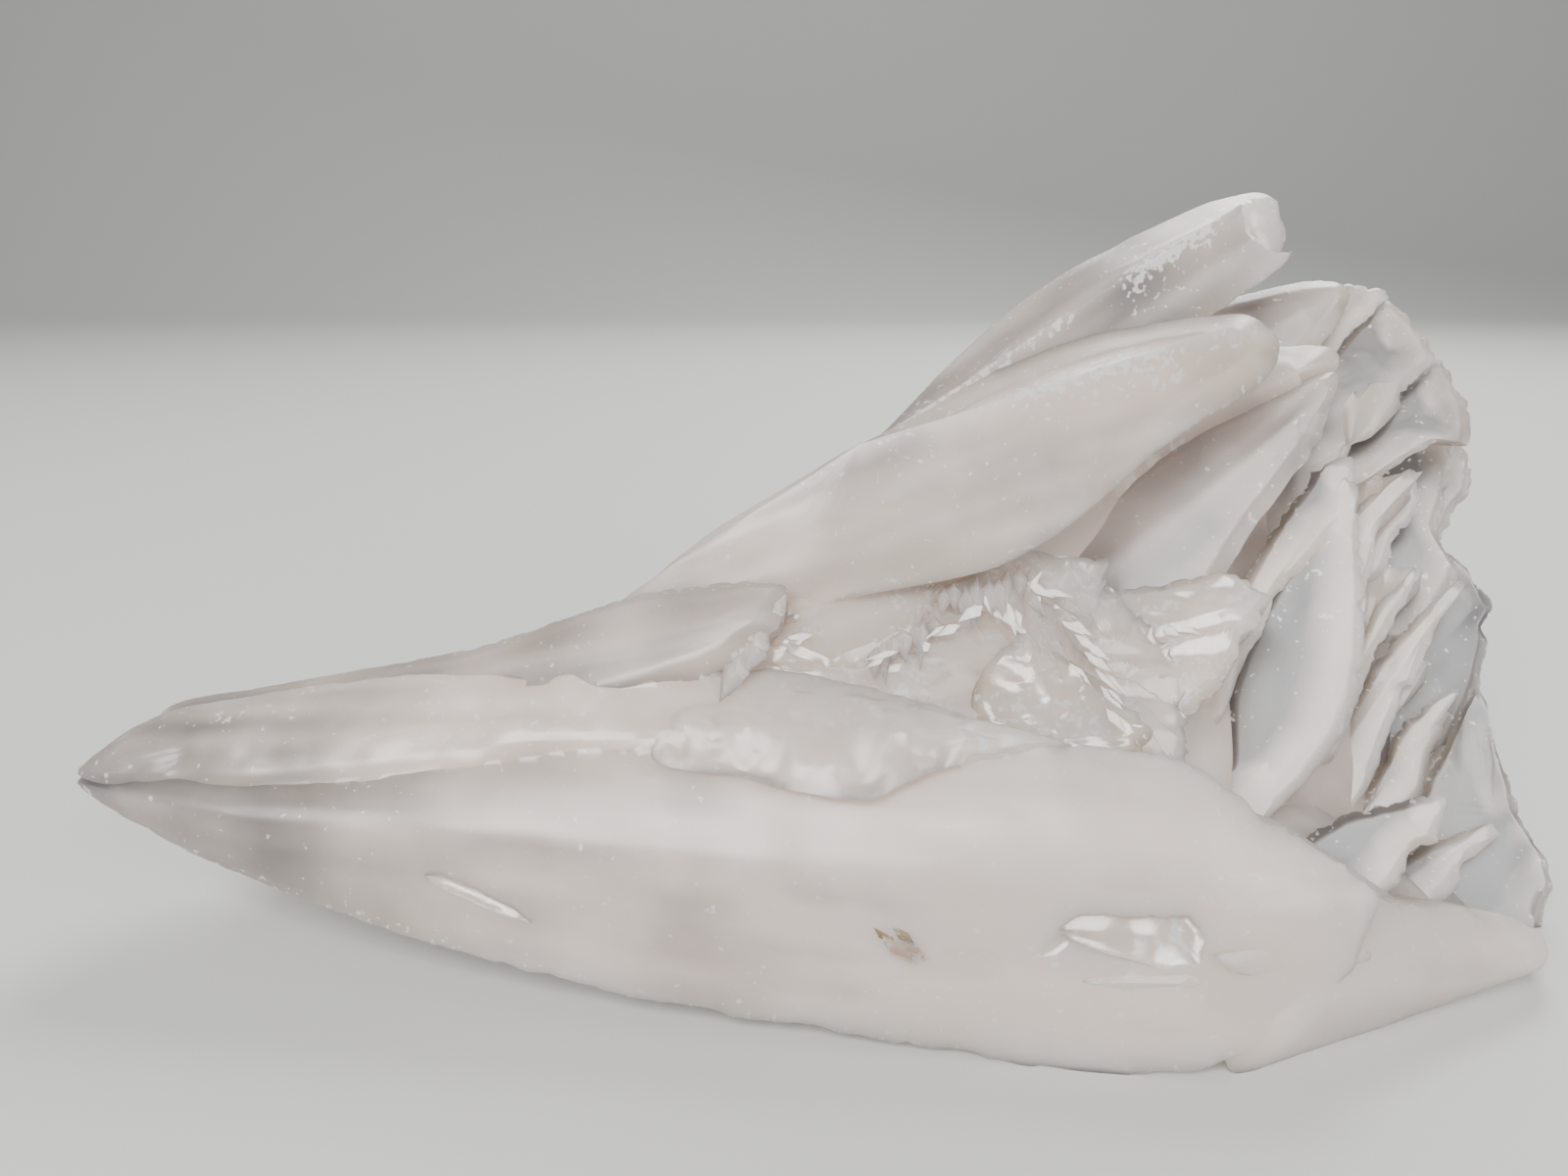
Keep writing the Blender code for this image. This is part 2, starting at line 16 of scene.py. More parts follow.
import bmesh
import bpy
import numpy as np
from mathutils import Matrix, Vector

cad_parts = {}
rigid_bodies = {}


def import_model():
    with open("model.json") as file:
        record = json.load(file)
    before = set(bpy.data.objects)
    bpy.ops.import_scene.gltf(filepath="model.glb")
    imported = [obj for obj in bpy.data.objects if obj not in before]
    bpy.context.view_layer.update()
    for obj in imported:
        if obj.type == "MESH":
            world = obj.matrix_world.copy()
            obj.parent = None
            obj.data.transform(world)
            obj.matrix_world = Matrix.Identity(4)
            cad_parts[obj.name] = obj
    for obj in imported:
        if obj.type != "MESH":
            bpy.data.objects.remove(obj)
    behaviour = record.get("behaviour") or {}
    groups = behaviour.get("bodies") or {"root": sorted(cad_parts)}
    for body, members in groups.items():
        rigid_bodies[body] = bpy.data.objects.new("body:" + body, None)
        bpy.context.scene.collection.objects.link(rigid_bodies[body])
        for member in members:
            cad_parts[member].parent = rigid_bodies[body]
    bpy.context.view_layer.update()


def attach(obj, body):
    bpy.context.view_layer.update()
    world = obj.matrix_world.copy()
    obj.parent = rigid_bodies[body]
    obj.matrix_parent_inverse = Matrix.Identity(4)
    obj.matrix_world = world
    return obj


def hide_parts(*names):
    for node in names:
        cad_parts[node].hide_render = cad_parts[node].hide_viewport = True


bl_info = {
    "name": "Calcite crystal group",
    "version": (1, 0, 0),
    "blender": (4, 5, 0),
    "location": "View3D > Sidebar > Calcite",
    "description": "Grows a sheaf of milky calcite crystals and the table it is seen on",
    "category": "Add Mesh",
}

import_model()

MM = 0.001
NODE = "calcite_crystal"
GROWTH = "growth"  # the collection that the single crystals are kept in until they are joined
LOOKS = ("milk", "edge", "iron", "fresh")  # how cloudy, bruised, rusty and glassy
TRIANGLE_LIMIT = 200000
SHARP_ANGLE = math.radians(34)

# The stage, in metres, and the camera, in millimetres.
TABLE_HALF = 2.0
TABLE_BACK = 0.7  # where the table starts to curve up
SWEEP_CURVE = 0.5
SWEEP_STEPS = 17
BACKDROP_HEIGHT = 1.6
EYE = (-5.5, -89.99, 53.5)  # where the camera stands
PITCH = math.radians(17.2)  # how far it looks down
FOCAL = 1150 / 1600  # focal length as a share of the picture's width
SENSOR = 36.0
CLIP_START = 0.005
BOARD_ROUGHNESS = 0.75
SURROUNDINGS = "#E2E3E4"
LIGHT_AIM = (0, 0, 0.025)
LIGHTS = (("key", (-0.35, -0.75, 0.70), 0.60, 1.0), ("fill", (0.60, -0.70, 0.45), 0.60, 0.35),
          ("rim", (0.20, 0.45, 0.55), 0.40, 0.3))  # name, place, width and share of the power

# The calcite's own values, and how its looks turn into colour. Where milk and veils add up
# to less than the lower threshold it takes the dark clear colour: clear calcite, and painted
# shade where a plate lies under the one that overlaps it. Ticks show where the edge look and
# the noise add up to more than TICK_FROM.
CALCITE_IOR = 1.6
GROWN_ROUGHNESS = 0.36
BROKEN_ROUGHNESS = 0.12
TRANSMISSION = 0.55
SCATTER_DEPTH = 5.0  # how far light wanders under the surface, in millimetres
SCATTER_RADIUS = (1.0, 0.95, 0.9)
ABSORPTION_COLOUR = "#E9E4DC"
ABSORPTION_DENSITY = 20.0
VEIL_SIZE = 6.0  # the clouds of fluid inclusions, in millimetres
VEIL_SHARE = 0.4
CLEAR_AND_SHADE_BELOW = 0.50
CLOUDY_ABOVE = 1.20
TICK_SIZE = 0.6  # the white ticks on rims and bruises, in millimetres
TICK_EDGE = 0.16
TICK_FROM = 0.73
TICK_FULL = 0.82
TICK_WHITEST = 0.85

# The group's own sizes, in millimetres.
DEPTH_SHIFT = -1.99  # from the crystals' own frame to the middle of the group
REST_HEIGHT = 0.0
CUTTER_SIZE = 200.0
BLADE_BEVEL = 7.0
FINGER_BEVEL = 5.0
PLATE_BEVEL = 0.8  # how wide the fan plates' sloping margin is, and how thick they are
PLATE_FRONT = 0.5
PLATE_BACK = 3.2
MARGIN_RISE = 0.85  # share of the thickness that is reached on the margin
FINGER_RISE = 0.55
BEVEL_LIMIT = 0.8  # the margin never takes up more than this share of the way in
PIT_PLACE = (2.1, -23.0, 8.2)
PIT_PARTS = (((-0.9, 0.2, 0.7), 1.3, 0.9), ((0.4, 0.3, 0.6), 1.2, 0.7),
             ((0.1, 0.2, -0.5), 1.7, 0.1), ((1.1, 0.2, -0.5), 1.3, 0.2),
             ((-0.4, 0.0, 0.0), 1.1, 0.5))  # offset, size and rust of each
REAR_PLATES = 4
REAR_PLATE_PITCH = 8.0  # each is this much higher than the last
REAR_PLATE_RETREAT = 1.5  # and this much further back

# The splinters of the hollow, in millimetres: slivers that radiate from one place, teeth
# that hang from a broken edge, and flat flakes. Two values are the least and the most.
NEEDLE_COUNT = 12
NEEDLE_SOURCE = (12.0, 28.5)  # (x, z) that the slivers of the hollow radiate from
NEEDLE_FIRST = -78.0  # direction of the first one, in degrees
NEEDLE_SPREAD = 52.0
NEEDLE_START = (1.0, 5.0)  # how far from the source a sliver's root lies
NEEDLE_LENGTH = (2.4, 5.5)
NEEDLE_WIDTH = (0.6, 1.3)
NEEDLE_PROUD = (0.6, 1.0)
TOOTH_LENGTH = (1.6, 3.6)
TOOTH_WIDTH = (1.1, 2.0)
TOOTH_PROUD = (0.5, 0.9)
TOOTH_SHIFT = 0.2  # how far, and how much, each one is shifted and leant at random
TOOTH_LEAN = 0.15
SLIVER_WIDEST = 0.35  # share of a sliver's length where it is widest and highest
SLIVER_DEPTH = 0.8
GLINT_FACING = (-0.29, -0.825, 0.484)  # sends the main light straight to the camera
GLINT_TILT = 0.07
GLINT_LIFT = 0.35
GLINT_PAIR = 2  # flakes at each place
GLINT_SHIFT = 0.7
GLINT_TURN = 1.5
GLINT_LENGTH = (1.2, 2.6)
GLINT_WIDTH = (0.4, 0.9)
GLINT_PROUD = (0.03, 0.07)
GLINT_PLACES = ((13.6, -3.5, 27.5), (14.4, -4.6, 27.2), (15.8, -4.7, 26.8), (5.3, -7.4, 24.3),
                (6.3, -6.7, 24.6), (8.4, -6.3, 26.0), (1.7, -8.5, 23.3), (2.7, -8.3, 22.6),
                (17.5, -7.6, 24.3), (18.1, -8.2, 23.2), (16.8, -9.7, 22.5), (18.9, -8.6, 21.1),
                (16.4, -6.6, 25.0), (19.0, -11.3, 21.0), (19.9, -13.4, 20.2), (18.3, -12.8, 20.2),
                (-5.1, -5.5, 25.6), (-4.6, -7.3, 24.6), (11.9, -5.7, 26.0), (25.2, -4.6, 24.5))

# Facing directions: growth faces that belong together are parallel.
PROW_FACING = (-0.12, -0.92, 0.37)
LEDGE_FACING = (-0.116, -0.62, 0.78)
FINGER_FACING = (-0.18, -0.81, 0.56)
SHELF_FACING = (-0.30, -0.80, 0.50)
FAN_TOP = (-0.35, -0.79, 0.50)
FAN_MIDDLE = (-0.41, -0.77, 0.46)
FAN_FOOT = (-0.40, -0.75, 0.53)
REAR_FACING = (-0.26, 0.86, 0.44)
REAR_FAN = (0.34, 0.82, 0.46)
HOLLOW_FACING = (0.08, -0.66, 0.75)
RHOMB_EDGES = ((0.92, -0.26, -0.29), (0.10, 0.93, -0.35), (-0.42, -0.22, 0.88))

# A plane passes through the point "through" and looks along "facing".
Plane = namedtuple("Plane", "through facing")
RIDGE_PLANE = Plane((-30, -4.1, 22.5), (-0.22, -0.68, 0.70))
UPPER_LAYER = Plane((5.6, -6.8, 24.4), (0.0, -0.62, 0.78))
HOLLOW_EDGE = Plane((14.7, -5.0, 26.2), HOLLOW_FACING)

# How a crystal's surface grew and broke, in millimetres where it is a length: grain is the
# spacing of its points, corner the share of each outline side that a corner rounds off,
# dome how far its faces are rounded, undercut the least width of the slope behind its rim,
# swell the slow undulation, terrace the growth steps, stria the fine ribs along the
# crystal, shingle the shell-like steps of a break and ragged the nicks in the rim, each
# with the size of its pattern. milk is how cloudy it is inside, clear how much of that is
# lost away from the free rim towards the plate that overlaps it (with the dark clear colour
# this is clearer calcite and painted shade), thin how much at the root, frost how white its
# bruises are, crest how much they keep to the crystal's middle ridge, iron how far rust
# tints the rim, and fresh is 1 on a glassy, newly cleaved face.
Habit = namedtuple("Habit", "grain corner dome undercut swell swell_size terrace terrace_size "
                            "stria shingle shingle_size ragged ragged_size "
                            "milk clear thin frost crest iron fresh")

BLADE = Habit(grain=0.70, corner=0.16, dome=0.80, undercut=0.0, swell=0.22, swell_size=9.0,
              terrace=0.06, terrace_size=4.0, stria=0.04, shingle=0.0, shingle_size=2.0,
              ragged=0.60, ragged_size=1.5, milk=1.06, clear=0.0, thin=0.65, frost=0.3,
              crest=0.0, iron=0.3, fresh=0.0)
FINGER = BLADE._replace(grain=0.50, corner=0.20, dome=0.15, swell=0.14, swell_size=7.0,
                        terrace_size=3.0, stria=0.06, ragged=0.20, ragged_size=2.5,
                        milk=0.84, thin=0.0, frost=2.3, crest=0.92, iron=0.5)
PLATE = BLADE._replace(grain=0.40, corner=0.10, dome=0.0, undercut=2.8, swell=0.10,
                       swell_size=6.0, terrace_size=3.0, stria=0.02, ragged=0.65,
                       ragged_size=1.3, milk=1.02, clear=1.4, thin=0.0, frost=0.5)
# These plates carry little milk, so whole plates take the dark clear colour: clearer calcite and
# painted shade.
CLEAR_AND_SHADED = PLATE._replace(milk=0.68, clear=0.8)
WING = PLATE._replace(milk=0.38, clear=0.4)
LUMPY = BLADE._replace(grain=0.45, dome=0.3, swell=0.45, swell_size=4.2, terrace=0.10,
                       terrace_size=2.5, stria=0.0, ragged=0.50, ragged_size=2.8,
                       milk=1.10, thin=0.5, frost=0.6, iron=0.2)
CRUST = LUMPY._replace(swell_size=2.2, milk=1.3, thin=0.0, frost=1.1, iron=0.1)
# High milk and frost make broken faces white: the frosting of a fresh break, and painted light that
# brightens the hollow against its shade.
BROKEN = BLADE._replace(grain=0.40, corner=0.06, dome=0.0, swell_size=5.0, terrace=0.20,
                        terrace_size=2.8, stria=0.14, shingle=0.20, shingle_size=2.2, ragged=0.90,
                        milk=1.35, thin=0.0, frost=1.2, fresh=0.9)
# High milk makes the floors of the chips white: a frosted break, and a painted highlight on the window
# that catches the light.
CHIP = BROKEN._replace(grain=0.35, corner=0.08, swell=0.05, swell_size=3.0, terrace=0.06,
                       terrace_size=1.6, shingle=0.0, ragged=0.40, milk=1.2, iron=0.0,
                       fresh=1.0)
# FLAT carries little milk, so its plates are half in the dark clear colour: clearer calcite and
# painted shade.
FLAT = BLADE._replace(grain=0.50, dome=0.15, swell=0.12, ragged=0.35, milk=0.62, thin=0.0)
REAR = BLADE._replace(grain=1.4, thin=0.1)
REAR_FINGER = FINGER._replace(grain=1.1)
REAR_PLATE = PLATE._replace(grain=0.9, clear=0.6)
CORE = BLADE._replace(grain=2.2, corner=0.10, dome=0.10, terrace=0.0, stria=0.0, ragged=0.0,
                      milk=0.90, thin=0.0, iron=0.0)

# outline and spine are (x, z) corners on the crystal's own plane. front and back are the
# thicknesses at the spine, bevel is the width of the sloping margin, and rise is how much
# of the thickness is reached on it.
Crystal = namedtuple("Crystal", "outline spine through facing front back bevel rise habit",
                     defaults=(MARGIN_RISE, BLADE))

# How the surfaces are worked out, in millimetres where it is a length.
BACK_MILK = 0.6  # the backs of the crystals are at least this cloudy
BACK_GRAIN = 3.0  # a crystal's hidden back is this much coarser than its front
RIM_FADE = 0.9  # the relief fades out over this distance to the rim
NICK_LIMIT = 0.4  # a nick never reaches further in than this share of the way
NICK_REACH = 0.7  # how far in from the rim the nicks are felt
ROOT_NICKS = 0.35  # the nicks at the root, as a share of those at the tip
CLEAR_AND_SHADE_REACH = 5.0  # at this distance from its free rim, next to the plate that overlaps it, a plate is at its clearest, with its painted shade at its darkest
CREST_WIDTH = 1.5  # how far from the middle ridge its bruises are felt
SWELL_FINER = 2.7  # the swell has a second wave, this much finer
SWELL_FINE_SHARE = 0.35
SWELL_SINK = 0.6  # shares that the relief is sunk by, so that it stays below the face
TERRACE_SINK = 0.5
TERRACE_LEVELS = 4
TERRACE_LEVEL = 0.7  # share of a growth step that is level
RIB_LENGTH = 16.0
RIB_WIDTH = 0.9
SHELL_SIZE = 4.0  # the noise that bends the shells of a break
SHELL_BEND = 1.3  # how far it bends them, as a share of their spacing
NICK_FINER = 2.6
NICK_FINE_SHARE = 0.5
MILK_SIZE = 6.0
MILK_VARIES = 0.14
STREAK_LENGTH = 11.0  # the cloudy streaks along a crystal
STREAK_WIDTH = 1.3
STREAK_VARIES = 0.15
BRUISE_SIZE = 4.0
EDGE_REACH = 0.8  # how far in from the rim its bruises are felt
RUST_SIZE = 5.0
RUST_REACH = 1.5
SEED_STEP = 10  # a crystal's patterns use the seeds from its own up to the next one's
CUTTER_SEED = 30
NEEDLE_SEED = 14
GLINT_SEED = 15
MERGE = 2e-3  # points nearer than this are one
SOLID_MILK = 1.0  # the teeth, slivers, flakes and pits are this cloudy and this bruised
SOLID_EDGE = 0.9
SHARE_DIGITS = 3  # keeps the points along a spine either equal or well apart


def plate(outline, spine, through, facing, front=PLATE_FRONT, back=PLATE_BACK,
          bevel=PLATE_BEVEL, habit=PLATE):
    """A crystal with the fan plates' usual thickness, margin and surface."""
    return Crystal(outline, spine, through, facing, front, back, bevel, habit=habit)


def front_blades():
    """The big blade at the front, its upper ledge and the ridge behind, and what lies on it.

    The toe is at its lower end, the crust on the ledge, the lip and streak on its face.
    """
    prow = Crystal(
        [(-60.5, 14), (-54, 15.2), (-42, 15.8), (-28.5, 17.6), (-12.5, 18.8), (0, 18.4),
         (8, 19.6), (14, 20.5), (22, 20), (27, 16.5), (33.5, 13), (34, 11.5), (32, 7),
         (27.5, 2.5), (22.5, 0.5), (17.5, -0.5), (8, 0), (-2, 1), (-12.5, 1.5), (-23, 3),
         (-34, 5), (-48, 8.5), (-57, 12)],
        [(-45, 12.5), (23, 10.5)], (17.5, -25.5, 0), PROW_FACING,
        front=2.5, back=9, bevel=BLADE_BEVEL)
    ledge = Crystal(
        [(-60.2, 14.4), (-56.7, 17), (-53.2, 18.4), (-41.5, 20.3), (-29.7, 21.8),
         (-14.4, 22.9), (-5.5, 22.9), (1.6, 22.4), (7, 21.2), (15.3, 20.1), (12.6, 19.6),
         (6.5, 18.6), (1.5, 17.4), (-4.2, 17.2), (-13.4, 17.7), (-24.2, 16.8),
         (-34.1, 15.4), (-45.6, 14), (-55.8, 13.9)],
        [(-50, 16.4), (3, 20.2)], (-60, -10.2, 14.2), LEDGE_FACING,
        front=1.3, back=8, bevel=1.6, habit=LUMPY)
    ridge = Crystal(
        [(-57.5, 16), (-55, 17), (-41.5, 20), (-30, 22.5), (-17, 27), (-8.5, 28.5),
         (-5, 28.5), (-5.5, 26), (-9.5, 23), (-20, 19.5), (-39.5, 15.5), (-52.5, 15)],
        [(-44.5, 17.5), (-10, 25.5)], *RIDGE_PLANE,
        front=1.5, back=8, bevel=1.5, rise=0.8, habit=FLAT._replace(milk=0.65))
    toe = Crystal(
        [(24.5, 7.5), (28, 11.2), (33.5, 10.6), (39.4, 8.1), (44.1, 6.9), (49.5, 4.9),
         (52.8, 2.8), (52.7, 1), (51.1, 0.1), (46.8, -0.2), (41.8, -0.5), (37.7, -0.6),
         (30.3, -0.4), (24.5, -0.4), (23, 3)],
        [(30, 5.5), (48, 2.8)], (46.8, -16.2, 0), (0.38, -0.91, 0.16),
        front=3.0, back=10, bevel=4, rise=0.8, habit=BLADE._replace(thin=0.0))
    crust = Crystal(
        [(-15.4, 18), (-13.8, 21.4), (-8.4, 21.9), (-1.9, 22.1), (3.6, 21.9), (8.9, 21),
         (13, 20.4), (6.5, 18.9), (2.3, 17.6), (0.7, 16.8), (-4.2, 16.9), (-8.3, 17.4),
         (-13.4, 17.6)],
        [(-13, 19.6), (7, 20.1)], (-60, -11.0, 14.2), LEDGE_FACING,
        front=1.0, back=4, bevel=2.6, rise=0.6, habit=CRUST)
    lip = Crystal(
        [(13.5, 6.6), (17, 7.5), (21.9, 7.8), (22.2, 6.8), (18, 6.2)],
        [(15.5, 6.8), (20.5, 7.1)], (18, -24.95, 7), (-0.10, -0.97, 0.21),
        front=0.4, back=1.5, bevel=0.5, rise=0.7, habit=CRUST._replace(swell=0.1))
    streak = Crystal(
        [(21.8, 9.6), (26, 9.4), (30, 9), (33.8, 8.4), (34, 7.2), (30, 7), (24, 7.6)],
        [(23.5, 8.6), (32, 7.9)], (26.5, -24.9, 8.2), (0.22, -0.96, 0.17),
        front=0.4, back=2, bevel=0.6, rise=0.7, habit=CRUST._replace(swell=0.1, frost=0.5))
    return [prow, ledge, ridge, toe, crust, lip, streak]


def fingers():
    """Blunt, rounded prisms that point up to the right, front one first."""
    long_finger = Crystal(
        [(-21, 24), (-17, 26.5), (-13.5, 29.5), (-5.5, 34), (-1, 37), (2.5, 38.5),
         (10.5, 43), (18, 46), (25.5, 47.5), (30.5, 48), (32, 47.5), (33, 46), (32.5, 44),
         (30, 42), (23, 38), (19, 34.5), (14, 31), (9.5, 29), (0, 27), (-8.5, 24.5)],
        [(1, 36), (28, 44.7)], (10.5, 4, 43), FINGER_FACING,
        front=4.5, back=5, bevel=2.5, rise=0.3, habit=FINGER)
    top_finger = Crystal(
        [(-9, 30), (-0.5, 35.5), (3, 38), (8, 43), (14, 48), (19.5, 51.5), (28, 55.5),
         (32, 57), (35, 57.5), (36.5, 56), (37, 54.5), (36.5, 52), (33, 49.5),
         (26.5, 45.5), (18.5, 40), (9, 34), (-1.5, 29)],
        [(5, 37.5), (32, 54)], (34.5, 13, 57.5), FINGER_FACING,
        front=4, back=4, bevel=3, rise=0.4, habit=FINGER._replace(milk=0.60))
    low_finger = Crystal(
        [(12, 30.5), (20.5, 37.5), (28.5, 42.5), (36.5, 45), (40, 45), (41, 44.5),
         (41, 43.5), (39.5, 41.5), (38.5, 39), (37, 38.5), (34.5, 37.5), (29.5, 36),
         (23.5, 33), (16, 27.5)],
        [(20, 33.5), (37.5, 42)], (41, 8, 44.5), SHELF_FACING,
        front=2.2, back=5, bevel=2.2, rise=0.6, habit=FINGER)
    return [long_finger, top_finger, low_finger]


def back_plates():
    """Flat plates whose ends show between the fingers and the fan."""
    wide = plate(
        [(9.5, 31), (20, 40.5), (29, 47), (37, 49), (41, 50), (44, 50), (44.5, 49),
         (43.5, 47), (42, 45), (37.5, 40.5), (29.5, 34.5), (17.5, 27)],
        [(20, 35.5), (40.5, 47)], (44, 15, 50), SHELF_FACING, front=1.2, back=3.5, bevel=1.4,
        habit=FLAT)
    splinter = plate(
        [(30.5, 36.5), (38.5, 45), (45.5, 50), (46.5, 49.5), (48.5, 49.5), (49, 48.5),
         (47.5, 47), (45.5, 45.5), (44.5, 44), (37.5, 36)],
        [(38, 41), (46.5, 48)], (48.5, 17, 49.5), SHELF_FACING)
    return [wide, splinter]


def shelves():
    """The shoulder under the fingers, the frayed shelf below it and small lumps."""
    shoulder = Crystal(
        [(15, 21.5), (17.5, 27.5), (23.5, 33.5), (29.5, 38), (35.5, 41.5), (40, 43.5),
         (40, 42), (39, 40), (38.5, 38), (36.5, 35.5), (35, 33.5), (33, 31), (31, 28),
         (28, 23), (21.5, 19.5)],
        [(22, 26), (36, 38.5)], (35, 2, 33.5), (-0.38, -0.78, 0.50),
        front=1.0, back=6, bevel=1.2, rise=0.9, habit=FLAT)
    shelf = Crystal(
        [(15, 23), (20.5, 26), (25.5, 27), (30, 28.5), (32, 27.5), (33, 27), (32, 25.5),
         (30.5, 24), (29.5, 22.5), (28, 20.5), (25.5, 18.5), (20.5, 17), (15, 19)],
        [(19.5, 22), (28.5, 25)], (32, -5, 25.5), (-0.30, -0.70, 0.65),
        front=1.4, back=6, bevel=1.2,
        habit=BROKEN._replace(terrace=0.14, shingle=0.12, shingle_size=3.5))
    knuckle = Crystal(
        [(40, 10.5), (42, 11.5), (44.5, 12.5), (46.5, 12), (47, 11), (46, 10), (44, 9),
         (41, 8), (38.5, 6.5)],
        [(41.5, 10), (45, 11)], (44, -3, 11), (-0.30, -0.70, 0.65),
        front=2.2, back=5, bevel=3.5, rise=0.7, habit=LUMPY)
    wedge = Crystal(
        [(8, 20), (9.5, 22.5), (13, 25), (17.5, 22.5), (22, 19.5), (19, 17), (10, 17)],
        [(13, 23.2), (15, 18.4)], (12, -9, 22), (-0.10, -0.70, 0.70),
        front=1.4, back=5, bevel=1.2, habit=BROKEN._replace(iron=0.7))
    return [shoulder, shelf, knuckle, wedge]


def upper_fan():
    """Plates of the fan's upper half, each row from the hollow out to the clear rim."""
    return [
        plate([(26.5, 13.5), (31.5, 21.5), (36, 29.5), (40.5, 35.5), (43, 36), (43, 32.5),
               (42.5, 31), (41, 30), (39, 27.5), (37.5, 26), (36, 24.5), (35, 22),
               (33, 19), (31, 14.5)],
              [(33, 21), (41, 33)], (41, 4, 30), FAN_TOP),
        plate([(33.5, 30), (38, 37), (43, 42.5), (46, 46), (49, 48.5), (50.5, 47),
               (51.5, 45.5), (52, 43.5), (50, 41.5), (48.5, 40), (46.5, 39), (46, 38),
               (45, 37), (44.5, 35), (39, 27.5)],
              [(40, 35.5), (48.5, 44)], (50, 12, 41.5), FAN_TOP, habit=CLEAR_AND_SHADED),
        plate([(36, 23.5), (41, 31.5), (46, 37), (51, 41.5), (53.5, 43.5), (54.5, 41.5),
               (55, 40), (55, 37.5), (54.5, 36), (52.5, 36.5), (49.5, 34.5), (47.5, 33),
               (45.5, 32), (41.5, 25.5)],
              [(43.5, 30.5), (52, 39)], (49.5, 11, 34.5), FAN_TOP, habit=CLEAR_AND_SHADED),
        plate([(29, 4.5), (31.8, 12), (32, 16.8), (34, 21.5), (36.7, 26.3), (39.9, 31.1),
               (42.1, 34.9), (43, 33.5), (42.8, 31.1), (42.6, 25.3), (41.7, 19.5),
               (39.9, 14.9), (36.8, 10.7), (34.1, 8), (32, 4.5)],
              [(34.5, 12), (41, 29.5)], (40, -2.5, 18), FAN_MIDDLE,
              habit=PLATE._replace(grain=0.45, clear=0.9)),
        plate([(27.5, 4.5), (33, 14), (38, 23), (44, 30.5), (48.5, 34.5), (50, 34.5),
               (48, 32.5), (46.5, 30), (45.5, 26.5), (44, 22.5), (43, 20.5), (41.5, 19),
               (40, 17), (38.5, 14.5), (36.5, 12.5), (34.5, 9.5), (31.5, 5.5)],
              [(35, 13.5), (46, 30)], (44, 4, 22.5), FAN_MIDDLE),
        plate([(41.5, 20), (46, 26.5), (49.5, 32), (51.5, 33), (52, 31.5), (51, 29.5),
               (49.5, 28), (48.5, 25), (46.5, 23.5), (45, 20.5)],
              [(45.5, 23.5), (50, 30.5)], (51, 10, 29.5), FAN_MIDDLE, front=0.35, back=2),
        plate([(44.5, 17.5), (49.5, 25.5), (54, 31.5), (57.5, 36), (58.5, 34.5),
               (58.5, 31.5), (57, 29.5), (55.5, 26.5), (54, 26.5), (52, 25), (49.5, 22),
               (47, 18)],
              [(50, 23), (56, 31)], (55.5, 13, 26.5), FAN_MIDDLE, habit=CLEAR_AND_SHADED),
        plate([(44, 18), (47, 28), (51, 37), (55.5, 38.5), (57, 35), (55.5, 30),
               (54.5, 27.5), (56, 24.5), (52, 18)],
              [(49, 24), (54, 34)], (55, 15, 32), FAN_MIDDLE, habit=CLEAR_AND_SHADED),
    ]


